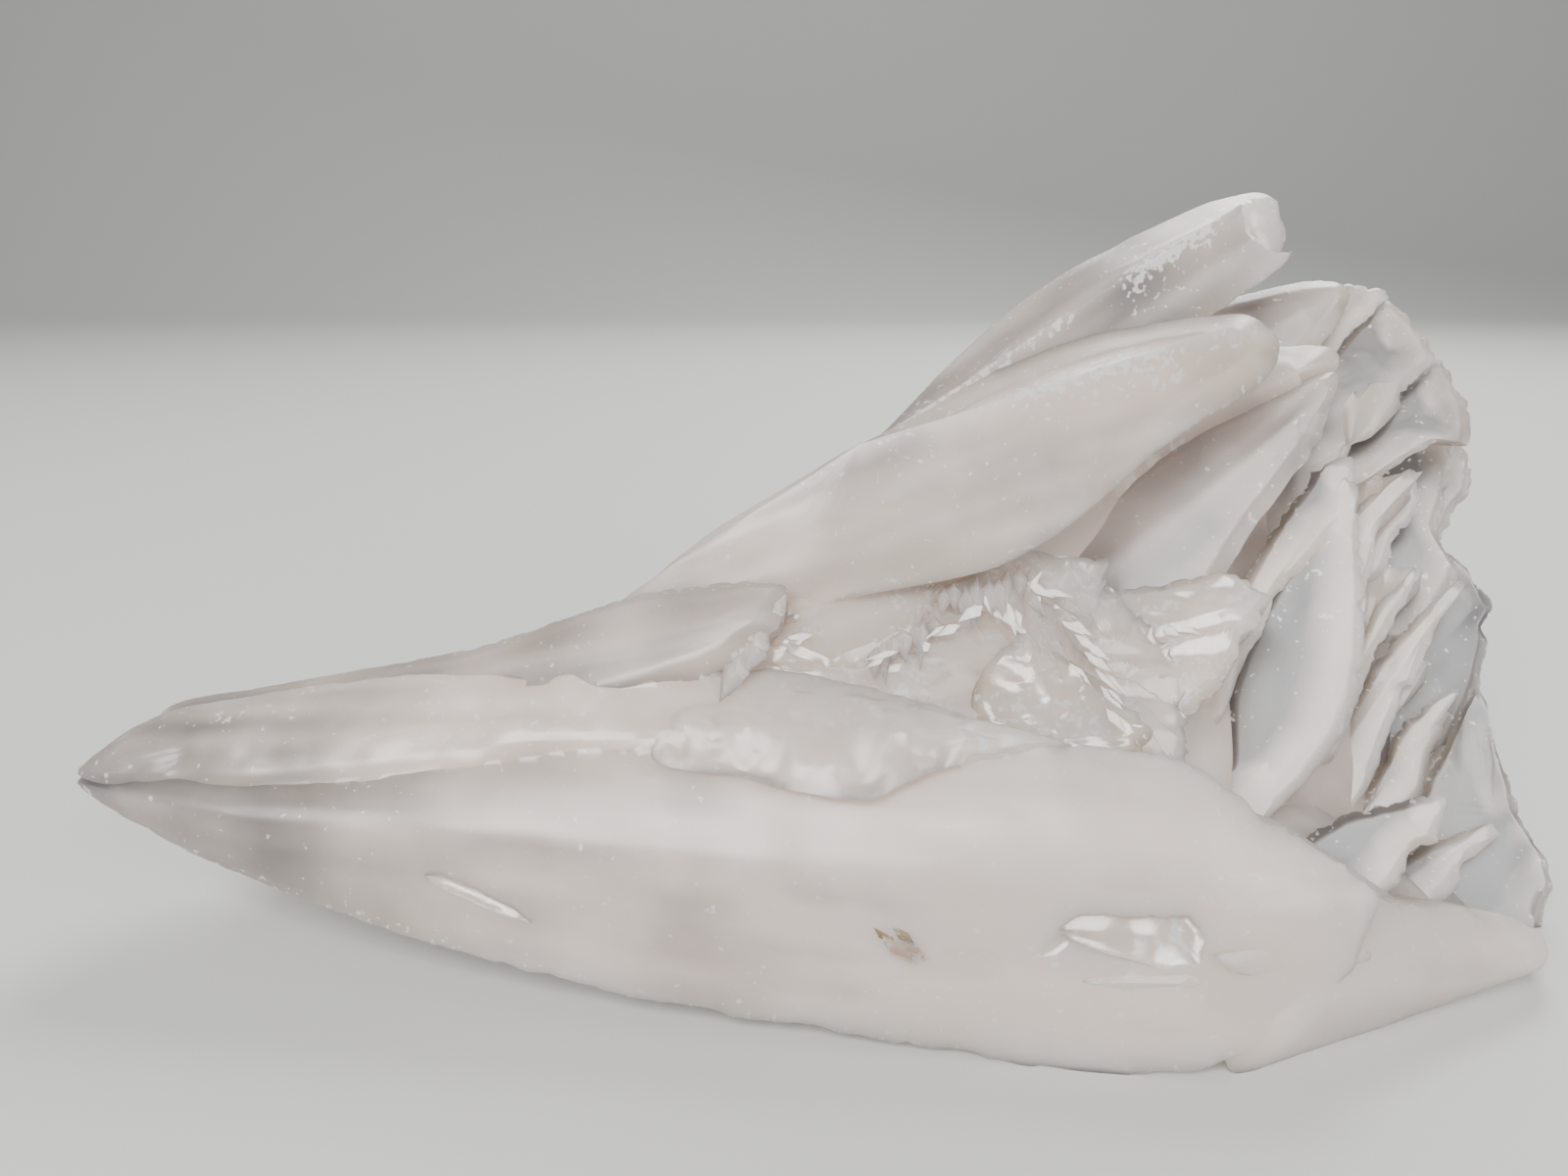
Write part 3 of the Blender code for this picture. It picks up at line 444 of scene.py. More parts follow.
def lower_fan():
    """Plates of the fan's lower half, down to the clear wing that rests at the foot."""
    return [
        plate([(30, 2.5), (33, 9.5), (37.5, 17), (41.5, 23.5), (44, 25.5), (44, 24.5),
               (43, 21.5), (42.5, 19), (41.5, 16), (41, 14), (40, 12.5), (38, 10), (35, 7),
               (32.5, 2.5)],
              [(35.5, 10), (42, 21.5)], (42.5, 0, 19), FAN_MIDDLE),
        plate([(39.5, 9.5), (43.5, 17.5), (46, 22.5), (49.5, 26.5), (50, 26.5),
               (49.5, 24.5), (48.5, 23), (47, 20.5), (46, 19), (45, 16.5), (42, 10)],
              [(43.5, 16), (48.5, 24.5)], (48.5, 5, 23), FAN_MIDDLE, front=0.35, back=2),
        plate([(38.5, 2), (43, 10), (47, 17), (50.5, 21.5), (54, 25), (54.5, 24.5),
               (52.5, 21.5), (52, 20.5), (51, 18.5), (50, 16), (49, 15.5), (49, 14.5),
               (47.5, 11.5), (47, 10), (45.5, 7), (42, 2.5)],
              [(44.5, 10.5), (52, 21.5)], (51, 5, 18.5), FAN_MIDDLE),
        plate([(46.5, 9.5), (50.5, 17.5), (54, 22.5), (57, 25.5), (58.5, 24.5),
               (59.5, 22.5), (60.5, 21), (59.5, 19), (59.5, 18), (58.5, 14.5), (57, 11),
               (54.5, 6), (49, 5)],
              [(50.5, 11.5), (58.5, 20.5)], (60.5, 11, 21), (-0.36, -0.80, 0.46), habit=WING),
        plate([(44.5, 0.5), (46.5, 6), (49.5, 12), (52, 14.5), (54.5, 16), (53.5, 14),
               (52.5, 11.5), (51.5, 9.5), (51, 7), (49, 4.5), (46.5, 1)],
              [(47, 5.5), (52, 12.5)], (52.5, 3, 11.5), FAN_MIDDLE),
        plate([(48, 0), (50, 4.5), (52.5, 8.5), (56.5, 11.5), (56.5, 11), (55.5, 9),
               (55, 8), (54.5, 6), (53, 3.5), (50, 0.5)],
              [(50.5, 3.5), (55, 8.5)], (55, 4, 8), FAN_MIDDLE),
        plate([(32.5, 0), (35.5, 5), (39.5, 8.5), (43, 10), (45.5, 11), (47.5, 11.5),
               (46.5, 9), (46, 8), (45, 7.5), (43.5, 5.5), (43, 4.5), (42, 3.5), (38.5, 1)],
              [(36, 3.5), (44.5, 9)], (45, -9, 7.5), FAN_FOOT, back=4.5),
        plate([(42, -1), (44.5, 2.5), (47.5, 5), (51.5, 7), (53.5, 8), (53.5, 7),
               (52, 5.5), (51, 4.5), (50, 3), (49, 1.5), (46.5, -0.5)],
              [(45, 1), (51, 6)], (52, -6, 5.5), FAN_FOOT, back=4),
        plate([(43, -3.5), (47.5, 4.5), (51, 10), (55, 16.5), (55.5, 15.5), (55.5, 12),
               (56, 10), (56.5, 7), (57.5, 4.5), (57.5, 2.5), (56.5, 1), (56, -1),
               (53, -3.5), (46, -5.5)],
              [(47.5, 1.5), (54.5, 7.5)], (56.5, -8, 1), FAN_FOOT, habit=WING),
    ]


def rear_crystals():
    """The far side: two long blades and a keel, two fingers and four more plates."""
    low_blade = Crystal(
        [(-52, 11), (-36, 13), (-14, 17), (8, 22), (28, 24), (42, 20), (47, 10), (44, 1),
         (30, -2), (4, -2), (-20, 2), (-40, 8)],
        [(-34, 10), (30, 10)], (0, 11, 12), REAR_FACING,
        front=3.5, back=12, bevel=BLADE_BEVEL, habit=REAR)
    high_blade = Crystal(
        [(-44, 13), (-24, 18), (-4, 26), (14, 33), (30, 38), (40, 34), (44, 26), (40, 18),
         (20, 15), (-6, 13), (-28, 11)],
        [(-26, 15), (30, 27)], (0, 11, 20), (-0.24, 0.80, 0.55),
        front=3, back=10, bevel=BLADE_BEVEL, habit=REAR)
    keel = Crystal(
        [(-24, 6), (-8, 9), (12, 10), (28, 10), (38, 7), (38, 1), (26, -2), (2, -2),
         (-16, 1)],
        [(-12, 4), (28, 4)], (10, 23, 3), (-0.10, 0.94, 0.33),
        front=3, back=12, bevel=5, habit=REAR)
    long_finger = Crystal(
        [(-12, 24), (2, 31), (14, 38), (24, 44), (31, 46), (34, 44), (33, 41), (26, 35),
         (14, 28), (0, 22)],
        [(0, 27), (28, 42)], (16, 15, 36), (-0.15, 0.84, 0.52),
        front=3.5, back=6, bevel=FINGER_BEVEL, rise=FINGER_RISE, habit=REAR_FINGER)
    short_finger = Crystal(
        [(4, 20), (16, 26), (28, 32), (38, 36), (42, 35), (41, 31), (34, 25), (22, 18),
         (8, 15)],
        [(10, 20), (37, 33)], (28, 19, 28), (-0.10, 0.86, 0.50),
        front=4, back=6, bevel=4, rise=FINGER_RISE, habit=REAR_FINGER)
    plates = []
    for rank in range(REAR_PLATES):
        lift = REAR_PLATE_PITCH * rank
        plates.append(plate(
            [(30, 4 + lift), (38, 10 + lift), (47 - rank, 17 + lift), (52 - rank, 18 + lift),
             (53 - rank, 15 + lift), (50 - rank, 11 + lift), (44, 5 + lift),
             (36, -1 + lift)],
            [(38, 6 + lift), (49 - rank, 14.5 + lift)], (44, 14 + REAR_PLATE_RETREAT * rank, 9 + lift),
            REAR_FAN, back=5, habit=REAR_PLATE))
    return [low_blade, high_blade, keel, long_finger, short_finger] + plates


def heart():
    """The solid middle that the blades grow out of.

    The left and right halves, the floor of the hollow, two fillings under the foot of
    the fan, and the two halves of the belly that closes the underside.
    """
    left = Crystal(
        [(-50, 13), (-30, 17), (-12, 22), (2, 27), (16, 32), (28, 33), (34, 26), (36, 14),
         (32, 2), (24, -3), (4, -3), (-16, 0), (-36, 7)],
        [(-28, 12), (22, 16)], (0, 1, 16), (0.13, -0.85, 0.52),
        front=6, back=12, bevel=9, rise=0.8, habit=CORE)
    right = Crystal(
        [(16, 6), (18, 22), (24, 34), (32, 40), (40, 42), (46, 38), (51, 32), (54.5, 27),
         (51, 10), (46, -3), (30, -4), (18, -2)],
        [(30, 10), (38, 30)], (40, 9, 20), (0.35, -0.82, 0.45),
        front=3, back=9, bevel=6, rise=0.8, habit=CORE)
    hollow = Crystal(
        [(-10, 24), (0, 28), (12, 30), (20, 28), (26, 22), (24, 14), (14, 13), (4, 14),
         (-10, 18)],
        [(0, 22), (18, 21)], (5, -4, 26), (0.05, -0.70, 0.71),
        front=0.8, back=10, bevel=4, rise=0.8, habit=BROKEN)
    foot = Crystal(
        [(26, -3), (28, 7), (36, 9), (42, 6), (50, 1.5), (54, -1), (52, -4)],
        [(34, 1), (46, -1)], (40, -3, 5), (0.10, -0.70, 0.70),
        front=2, back=7, bevel=3, rise=0.8, habit=CORE)
    heel = Crystal(
        [(22, 7), (34, 6.5), (46, 4.5), (51, 2), (52, -3), (36, -5), (24, -5)],
        [(28, 2), (44, 0)], (44, -6, -0.5), (0.00, 0.54, 0.84),
        front=0.4, back=5, bevel=3, rise=0.8, habit=CORE)
    belly = Crystal(
        [(-50, 12), (-30, 12.5), (-6, 13), (14, 13), (32, 11), (43, 4), (46, -4), (20, -5),
         (-12, -3), (-34, 5)],
        [(-30, 8), (32, 3)], (0, -5, 6), (-0.15, -0.98, 0.05),
        front=10, back=16, bevel=6, habit=CORE)
    rear_belly = Crystal(
        [(-34, 9), (-10, 11), (16, 12), (38, 9), (44, 3), (40, -4), (0, -4), (-24, 1)],
        [(-20, 5), (30, 4)], (10, 12, 4), (-0.25, 0.95, 0.10),
        front=3, back=14, bevel=5, habit=CORE)
    return [left, right, hollow, foot, heel, belly, rear_belly]


# ---------------------------------------------------------------- surfaces

def smooth(share):
    """The smoothstep of a share between 0 and 1."""
    return share * share * (3 - 2 * share)


def cloud(points, size, seed):
    """Smooth noise between -1 and 1.

    Each corner of a cubic lattice of the given size has a random value. Inside a cell
    the eight corners are blended by the smoothstep of the place in the cell.
    """
    cells = 32
    lattice = np.random.default_rng(seed).uniform(-1, 1, (cells,) * 3)
    place = points / size
    corner = np.floor(place).astype(int)
    share = smooth(place - corner)
    total = np.zeros(points.shape[:-1])
    for step in np.ndindex(2, 2, 2):
        weight = np.prod(np.where(step, share, 1 - share), axis=-1)
        i, j, k = np.moveaxis((corner + step) % cells, -1, 0)
        total += weight * lattice[i, j, k]
    return total


def patches(noise, middle, contrast):
    """Noise turned into patches between 0 and 1."""
    return np.clip(middle + contrast * noise, 0, 1)


def unit(vector):
    """The vector at length one."""
    vector = np.asarray(vector, float)
    return vector / np.linalg.norm(vector)


def on_plane(plane, places):
    """The points above (x, z) places on a plane, or on a crystal's own plane."""
    places = np.asarray(places, float)
    normal = np.asarray(plane.facing, float)
    px, py, pz = plane.through
    lean = normal[0] * (places[:, 0] - px) + normal[2] * (places[:, 1] - pz)
    return np.stack((places[:, 0], py - lean / normal[1], places[:, 1]), axis=1)


def rounded(corners, share, rounds=2):
    """Cuts each corner of a closed outline off, at a share of the sides that meet in it."""
    for _ in range(rounds):
        following = np.roll(corners, -1, axis=0)
        near = (1 - share) * corners + share * following
        far = share * corners + (1 - share) * following
        corners = np.stack((near, far), axis=1).reshape(-1, corners.shape[1])
    return corners


def evenly(chain, count):
    """The chain's points again, evenly spaced along its length."""
    steps = np.linalg.norm(np.diff(chain, axis=0), axis=1)
    travelled = np.concatenate(([0], np.cumsum(steps)))
    wanted = np.linspace(0, travelled[-1], count)
    return np.stack([np.interp(wanted, travelled, axis) for axis in chain.T], axis=1)


def rim_halves(outline, grain):
    """The outline as two runs of as many points each, both from the root to the tip."""
    loop = np.roll(outline, -np.argmin(outline[:, 0]), axis=0)
    tip = np.argmax(loop[:, 0])
    runs = loop[:tip + 1], np.vstack((loop[tip:], loop[:1]))[::-1]
    longest = max(np.linalg.norm(np.diff(run, axis=0), axis=1).sum() for run in runs)
    count = int(longest / grain) + 2
    return np.stack([evenly(run, count) for run in runs])


def relief(points, along, across, habit, seed):
    """Height of the fine relief over the smooth face, in millimetres, mostly below it.

    A slow swell, growth steps (noise cut into levels with short slopes between them),
    ribs that run along the crystal, and the shells of a break: a sawtooth of the distance
    across it, bent by noise.
    """
    swell = (cloud(points, habit.swell_size, seed)
             + SWELL_FINE_SHARE * cloud(points, habit.swell_size / SWELL_FINER, seed))
    levels = TERRACE_LEVELS * cloud(points, habit.terrace_size, seed + 1)
    tread = np.floor(levels)
    slope = np.clip((levels - tread - TERRACE_LEVEL) / (1 - TERRACE_LEVEL), 0, 1)
    stairs = (tread + smooth(slope)) / TERRACE_LEVELS
    ribs = cloud(np.stack((along / RIB_LENGTH, across / RIB_WIDTH, 0 * along), axis=-1),
                 1.0, seed + 2)
    shell = across / habit.shingle_size + SHELL_BEND * cloud(points, SHELL_SIZE, seed + 7)
    height = (habit.swell * swell + habit.terrace * stairs + habit.stria * ribs
              + habit.shingle * (shell - np.floor(shell) - 1))
    return height - SWELL_SINK * habit.swell - TERRACE_SINK * habit.terrace


def rim_nicks(points, reach, share, habit, seed):
    """How far in the rim is nicked, as a share of its distance to the spine.

    Ridged noise (the size of smooth noise, whatever its sign) in two finenesses, less at
    the root than at the tip.
    """
    nicks = (np.abs(cloud(points, habit.ragged_size, seed + 3))
             + NICK_FINE_SHARE * np.abs(cloud(points, habit.ragged_size / NICK_FINER, seed + 4)))
    nicks = nicks * (ROOT_NICKS + (1 - ROOT_NICKS) * share)
    return np.minimum(habit.ragged * nicks / reach, NICK_LIMIT)


def grown_looks(points, lines, w, reach, inwards, share, habit, seed):
    """How cloudy, bruised, rusty and glassy each point is, in the order of LOOKS.

    The milk varies in clouds and in long streaks, and is lost with the square of the
    distance from the free rim and towards the root. Lost milk turns to the dark clear
    colour, so away from the free rim, next to the plate that overlaps it, this paints shade.
    Bruises lie along the rim and in patches near the spine, rust in patches along the rim:
    both fade exponentially.
    """
    # the clear share paints shade: milk falls and the colour darkens towards the plate that overlaps
    # this one
    milk = (habit.milk - habit.clear * np.clip(inwards / CLEAR_AND_SHADE_REACH, 0, 1) ** 2
            - habit.thin * (1 - share) ** 2 + MILK_VARIES * cloud(points, MILK_SIZE, seed + 5)
            + STREAK_VARIES * cloud(lines, 1.0, seed + 8))
    crest = 1 - habit.crest * (1 - np.exp(-(1 - w) * reach / CREST_WIDTH))
    bruises = crest * patches(cloud(points, BRUISE_SIZE, seed + 9), middle=0.5, contrast=1.5)
    edge = np.maximum(np.exp(-w * reach / EDGE_REACH), habit.frost * bruises)
    rust = patches(cloud(points, RUST_SIZE, seed + 6), middle=0.4, contrast=1.6)
    iron = habit.iron * rust * np.exp(-w * reach / RUST_REACH)
    return milk, edge, iron, habit.fresh + 0 * edge


def lens_grids(crystal, seed):
    """The four grids of one crystal: two halves of its rim, front and back of each.

    A point is (1 - w) rim(u) + w spine(u) in the crystal's plane, where w runs from the
    rim (0) to the spine (1). It is lifted along the facing by the thickness times a
    profile in w, straight up the sloping margin and then gently up to the spine, part
    blended with a parabola, and by the relief. The nicks shift it inwards and fade with
    the distance from the rim. Each grid comes with its looks.
    """
    habit = crystal.habit
    normal = unit(crystal.facing)
    start, end = on_plane(crystal, crystal.spine)
    length = np.linalg.norm(end - start)
    along = (end - start) / length
    across = np.cross(normal, along)
    rim = on_plane(crystal, crystal.outline) - start
    outline = rounded(np.stack((rim @ along, rim @ across), axis=1), habit.corner)
    rims = rim_halves(outline, habit.grain)
    share = np.maximum.accumulate(np.clip(rims[..., 0] / length, 0, 1), axis=1).mean(axis=0)
    share = share.round(SHARE_DIGITS)
    spine = np.stack((share * length, 0 * share), axis=1)

    def to_space(flat, height):
        return start + flat[..., :1] * along + flat[..., 1:] * across + height[..., None] * normal

    free = np.argmin(rims[..., 1].mean(axis=1))
    inward = spine - rims
    reach = np.linalg.norm(inward, axis=-1)
    nicks = rim_nicks(to_space(rims, 0 * reach), reach, share, habit, seed)
    front_side = crystal.front, crystal.bevel, 1.0
    back_side = -crystal.back, max(crystal.bevel, habit.undercut), BACK_GRAIN
    grids = []
    for thickness, bevel, coarse in (front_side, back_side):
        inset = np.minimum(bevel / reach, BEVEL_LIMIT)
        spacing = habit.grain * coarse
        margin_rows = max(2, round(bevel / spacing))
        inner_rows = max(2, round(max(reach.mean() - bevel, 0) / spacing))
        up_margin = np.linspace(0, 1, margin_rows + 1)[:, None, None]
        up_face = np.linspace(0, 1, inner_rows + 1)[1:, None, None]
        w = np.concatenate((inset * up_margin, inset + (1 - inset) * up_face))
        straight = np.concatenate((crystal.rise * up_margin + 0 * inset,
                                   crystal.rise + (1 - crystal.rise) * up_face + 0 * inset))
        dome = w * (2 - w)
        height = thickness * ((1 - habit.dome) * straight + habit.dome * dome)
        felt = nicks * (1 - w) * np.exp(-w * reach / NICK_REACH)
        flat = rims + (w + felt)[..., None] * inward
        points = to_space(flat, height)
        fade = np.clip(w * reach.min(axis=0) / RIM_FADE, 0, 1)
        grown = relief(points, flat[..., 0], flat[..., 1], habit, seed)
        points = to_space(flat, height + np.sign(thickness) * fade * grown)
        lines = np.stack((flat[..., 0] / STREAK_LENGTH, flat[..., 1] / STREAK_WIDTH, w), axis=-1)
        inwards = flat[..., 1] - rims[free, :, 1]
        milk, *others = grown_looks(points, lines, w, reach, inwards, share, habit, seed)
        if thickness < 0:
            milk = np.maximum(milk, BACK_MILK)
        for half in range(2):
            looks = [look[:, half] for look in (milk, *others)]
            grids.append((points[:, half], looks, np.sign(thickness) * normal))
    return grids


def grid_triangles(shape):
    """Two triangles for each cell of a grid of points, counted row by row."""
    index = np.arange(shape[0] * shape[1]).reshape(shape)
    a, b, c, d = index[:-1, :-1], index[1:, :-1], index[1:, 1:], index[:-1, 1:]
    return np.concatenate((np.stack((a, b, c), -1), np.stack((a, c, d), -1))).reshape(-1, 3)


def facing_out(points, triangles, outward):
    """The triangles, turned so that on the whole they look the given way."""
    a, b, c = (points[triangles[:, i]] for i in range(3))
    looks = np.cross(b - a, c - a).sum(axis=0) @ outward
    return triangles if looks > 0 else triangles[:, ::-1]


def add_growth(name, points, triangles, looks):
    """A closed mesh in the growth collection, with its doubles merged.

    The looks are kept on the corners, because that is what a Boolean carries over into
    the new faces along a seam.
    """
    keys = np.round(points / MERGE).astype(np.int64)
    _, first, inverse = np.unique(keys, axis=0, return_index=True, return_inverse=True)
    triangles = inverse.reshape(-1)[triangles]
    whole = ((triangles[:, 0] != triangles[:, 1]) & (triangles[:, 1] != triangles[:, 2])
             & (triangles[:, 2] != triangles[:, 0]))
    triangles = triangles[whole]
    place = (points[first] + (0, DEPTH_SHIFT, 0)) * MM
    mesh = bpy.data.meshes.new(name)
    mesh.from_pydata(place, [], triangles)
    corners = triangles.reshape(-1)
    for key, values in zip(LOOKS, looks):
        attribute = mesh.attributes.new(key, "FLOAT", "CORNER")
        attribute.data.foreach_set("value", values[first][corners].astype(np.float32))
    obj = bpy.data.objects.new(name, mesh)
    growth = bpy.data.collections.get(GROWTH)
    if growth is None:
        growth = bpy.data.collections.new(GROWTH)
        bpy.context.scene.collection.children.link(growth)
    growth.objects.link(obj)
    return obj


def add_crystal(name, crystal, seed):
    """One lens-shaped crystal, or a cutter of that shape, as one closed mesh."""
    points, triangles, looks = [], [], []
    count = 0
    for place, grid_looks, outward in lens_grids(crystal, seed):
        places = place.reshape(-1, 3)
        cells = facing_out(places, grid_triangles(place.shape[:2]), outward)
        points.append(places)
        triangles.append(cells + count)
        looks.append([look.ravel() for look in grid_looks])
        count += len(places)
    return add_growth(name, np.concatenate(points), np.concatenate(triangles),
                      [np.concatenate(look) for look in zip(*looks)])


def grow(name, crystals, first_seed):
    """Adds each crystal of a group to the growth collection."""
    for number, crystal in enumerate(crystals):
        add_crystal(f"{name}_{number}", crystal, first_seed + SEED_STEP * number)


def add_solid(name, points, triangles, iron=0.0):
    """A small convex body of a few flat, freshly cleaved faces, turned to look outwards."""
    a, b, c = (points[triangles[:, i]] for i in range(3))
    volume = np.einsum("ij,ij->i", a - points.mean(axis=0), np.cross(b - a, c - a)).sum()
    if volume < 0:
        triangles = triangles[:, ::-1]
    looks = [np.full(len(points), look) for look in (SOLID_MILK, SOLID_EDGE, iron, 1.0)]
    return add_growth(name, points, triangles, looks)


def rhomb(middle, size, edges=RHOMB_EDGES):
    """Corners and triangles of a cleavage rhomb: a box with its sides along the edges."""
    steps = np.array(list(np.ndindex(2, 2, 2))) - 0.5
    sides = size * np.array([unit(edge) for edge in edges])
    quads = np.array(((0, 1, 3, 2), (4, 6, 7, 5), (0, 4, 5, 1), (2, 3, 7, 6),
                      (0, 2, 6, 4), (1, 5, 7, 3)))
    return (np.asarray(middle, float) + steps @ sides,
            np.concatenate((quads[:, (0, 1, 2)], quads[:, (0, 2, 3)])))


def sliver(plane, root, way, width, proud):
    """Corners and triangles of a sharp splinter: a stretched double pyramid.

    Four corners lie in the plane: the root, the tip and the two sides at its widest.
    The fifth stands proud of the plane there, and the sixth lies below it.
    """
    root, way = np.array(root, float), np.array(way, float)
    side = width / 2 * np.array((-way[1], way[0])) / np.linalg.norm(way)
    widest = root + SLIVER_WIDEST * way
    points = on_plane(plane, (root, widest + side, root + way, widest - side, widest, widest))
    points[4] += proud * unit(plane.facing)
    points[5] -= SLIVER_DEPTH * unit(plane.facing)
    ring = np.arange(4)
    following = np.roll(ring, -1)
    return points, np.concatenate((np.stack((ring, following, 0 * ring + 4), -1),
                                   np.stack((following, ring, 0 * ring + 5), -1)))


def terraces():
    """Thin broken layers that lie like shingles on the floor of the hollow."""
    upper = Crystal(
        [(-7, 24), (-6, 28), (0, 29.5), (8, 30), (14, 29.5), (14, 28.4), (11, 27.8),
         (8, 27.3), (6.4, 26.2), (4.4, 24.4), (2.2, 23.6), (-2, 22.6)],
        [(-3, 26), (9, 28.6)], *UPPER_LAYER,
        front=0.7, back=3, bevel=0.8, rise=0.9, habit=BROKEN)
    middle = Crystal(
        [(6, 27), (14, 30), (21, 29), (19, 25.5), (17.5, 23.5), (16.5, 22), (15, 22.5),
         (13, 24.4), (11, 25.6)],
        [(11, 27.4), (17, 26)], (14.7, -4.6, 26.2), HOLLOW_FACING,
        front=0.5, back=3, bevel=1.0, rise=0.9, habit=BROKEN)
    return [upper, middle]


def tooth_row(name, plane, start, end, count, lean, seed):
    """Pointed cleavage teeth of uneven size that hang from a broken edge, (x, z) in mm."""
    chance = np.random.default_rng(seed)
    for number, share in enumerate(np.linspace(0, 1, count)):
        root = np.array(start) + share * (np.array(end) - start)
        length = chance.uniform(*TOOTH_LENGTH)
        root += chance.uniform(-TOOTH_SHIFT, TOOTH_SHIFT, 2)
        way = length * unit((lean + chance.uniform(-TOOTH_LEAN, TOOTH_LEAN), -1))
        points, triangles = sliver(plane, root, way, chance.uniform(*TOOTH_WIDTH),
                                   chance.uniform(*TOOTH_PROUD))
        add_solid(f"{name}_{number}", points, triangles)


def broken_edges():
    """The rows of teeth along the broken layers, and slivers that radiate below them."""
    tooth_row("tooth_high", HOLLOW_EDGE, (7.0, 27.6), (14.0, 28.8),
              count=9, lean=-0.12, seed=11)
    tooth_row("tooth_low", UPPER_LAYER, (1.4, 24.2), (6.0, 25.8),
              count=7, lean=-0.10, seed=12)
    tooth_row("tooth_ridge", RIDGE_PLANE, (-5.4, 27.8), (-9.2, 23.4),
              count=9, lean=-0.60, seed=13)
    chance = np.random.default_rng(NEEDLE_SEED)
    for number, share in enumerate(np.linspace(0, 1, NEEDLE_COUNT)):
        angle = math.radians(NEEDLE_FIRST + share * NEEDLE_SPREAD)
        way = np.array((math.cos(angle), math.sin(angle)))
        root = np.array(NEEDLE_SOURCE) + chance.uniform(*NEEDLE_START) * way
        points, triangles = sliver(HOLLOW_EDGE, root, chance.uniform(*NEEDLE_LENGTH) * way,
                                   chance.uniform(*NEEDLE_WIDTH), chance.uniform(*NEEDLE_PROUD))
        add_solid(f"needle_{number}", points, triangles)


def glints():
    """Small flat cleavage flakes that all face one way, so they light up together."""
    chance = np.random.default_rng(GLINT_SEED)
    for number, place in enumerate(np.repeat(GLINT_PLACES, GLINT_PAIR, axis=0)):
        middle = place + chance.uniform(-GLINT_SHIFT, GLINT_SHIFT, 3) * (1, 0, 1)
        way = middle[[0, 2]] - NEEDLE_SOURCE + chance.uniform(-GLINT_TURN, GLINT_TURN, 2)
        way = chance.uniform(*GLINT_LENGTH) * unit(way)
        facing = unit(GLINT_FACING + chance.uniform(-GLINT_TILT, GLINT_TILT, 3))
        points, triangles = sliver(Plane(middle + GLINT_LIFT * facing, facing),
                                   middle[[0, 2]] - way / 2, way,
                                   chance.uniform(*GLINT_WIDTH), chance.uniform(*GLINT_PROUD))
        add_solid(f"glint_{number}", points, triangles)


# ---------------------------------------------------------------- joining

def add_object(name, data):
    """A new object in the scene."""
    obj = bpy.data.objects.new(name, data)
    bpy.context.scene.collection.objects.link(obj)
    return obj


def chips():
    """Cutters: the breaks in the big face, the broken finger ends and the mineral pit."""
    window = Crystal(
        [(12.6, 9.2), (14, 10.3), (17.5, 10.7), (21.3, 11.1), (22.1, 9.9), (21.8, 8),
         (19, 7.8), (15.5, 8.2), (13.5, 8.6)],
        [(14.5, 9.4), (20.5, 9.5)], (17.8, -24.35, 8.2), (-0.20, -0.81, 0.55),
        front=2.5, back=0.15, bevel=0.4, rise=0.95, habit=CHIP)
    flake = Crystal(
        [(9.6, 7.2), (11.3, 8.7), (13.2, 9.7), (13.6, 9), (12.4, 8)],
        [(10.8, 8), (12.8, 9)], (11.8, -23.85, 8.1), (-0.11, -0.88, 0.46),
        front=1.5, back=0.1, bevel=0.3, rise=0.95, habit=CHIP)
    scar = Crystal(
        [(-31.5, 10.2), (-30, 10.6), (-27, 9.6), (-24, 8.2), (-23, 7), (-26, 7.4),
         (-29.5, 8.8)],
        [(-30, 9.8), (-24.5, 7.8)], (-27.9, -17.6, 8.6), (-0.17, -0.98, 0.05),
        front=1.5, back=0.4, bevel=0.8, rise=0.6, habit=CHIP)
    top_end = Crystal(
        [(30.8, 57.6), (30.6, 54.6), (32.3, 53), (35, 51.6), (38.4, 52), (38.6, 56),
         (36, 59)],
        [(32.5, 55), (36.5, 55)], (33.8, 10.4, 54.5), (0.32, -0.80, 0.50),
        front=4, back=0.1, bevel=0.4, rise=0.95,
        habit=BROKEN._replace(grain=0.3, terrace=0.35, terrace_size=1.5, shingle=0.4,
                              shingle_size=1.3, ragged=1.3, iron=0.4))
    long_end = Crystal(
        [(28.8, 48), (28.4, 45.4), (29.6, 43.4), (32, 42), (35, 43.5), (35, 47.5),
         (32, 49.5)],
        [(30.5, 45.6), (33, 45.6)], (30.6, -0.5, 45.5), (0.44, -0.82, 0.37),
        front=4, back=0.1, bevel=0.4, rise=0.95, habit=BROKEN._replace(shingle=0.15))
    lenses = {"window": window, "flake": flake, "scar": scar, "top_end": top_end,
              "long_end": long_end}
    cutters = [add_crystal(f"{name}_cutter", lens, CUTTER_SEED + SEED_STEP * number)
               for number, (name, lens) in enumerate(lenses.items())]
    for number, (offset, size, iron) in enumerate(PIT_PARTS):
        middle = np.array(PIT_PLACE) + offset
        cutters.append(add_solid(f"pit_cutter_{number}", *rhomb(middle, size), iron=iron))
    return cutters


def base_cutter():
    """A slab below the resting plane."""
    middle = (0, 0, REST_HEIGHT - CUTTER_SIZE / 2)
    return add_solid("base_cutter", *rhomb(middle, CUTTER_SIZE, np.eye(3)))


def add_boolean(obj, operation, **operand):
    """One Boolean on the object. The crystals are closed, so the fast solver is right."""
    boolean = obj.modifiers.new(operation.lower(), "BOOLEAN")
    boolean.operation = operation
    boolean.solver = "MANIFOLD"
    for key, value in operand.items():
        setattr(boolean, key, value)


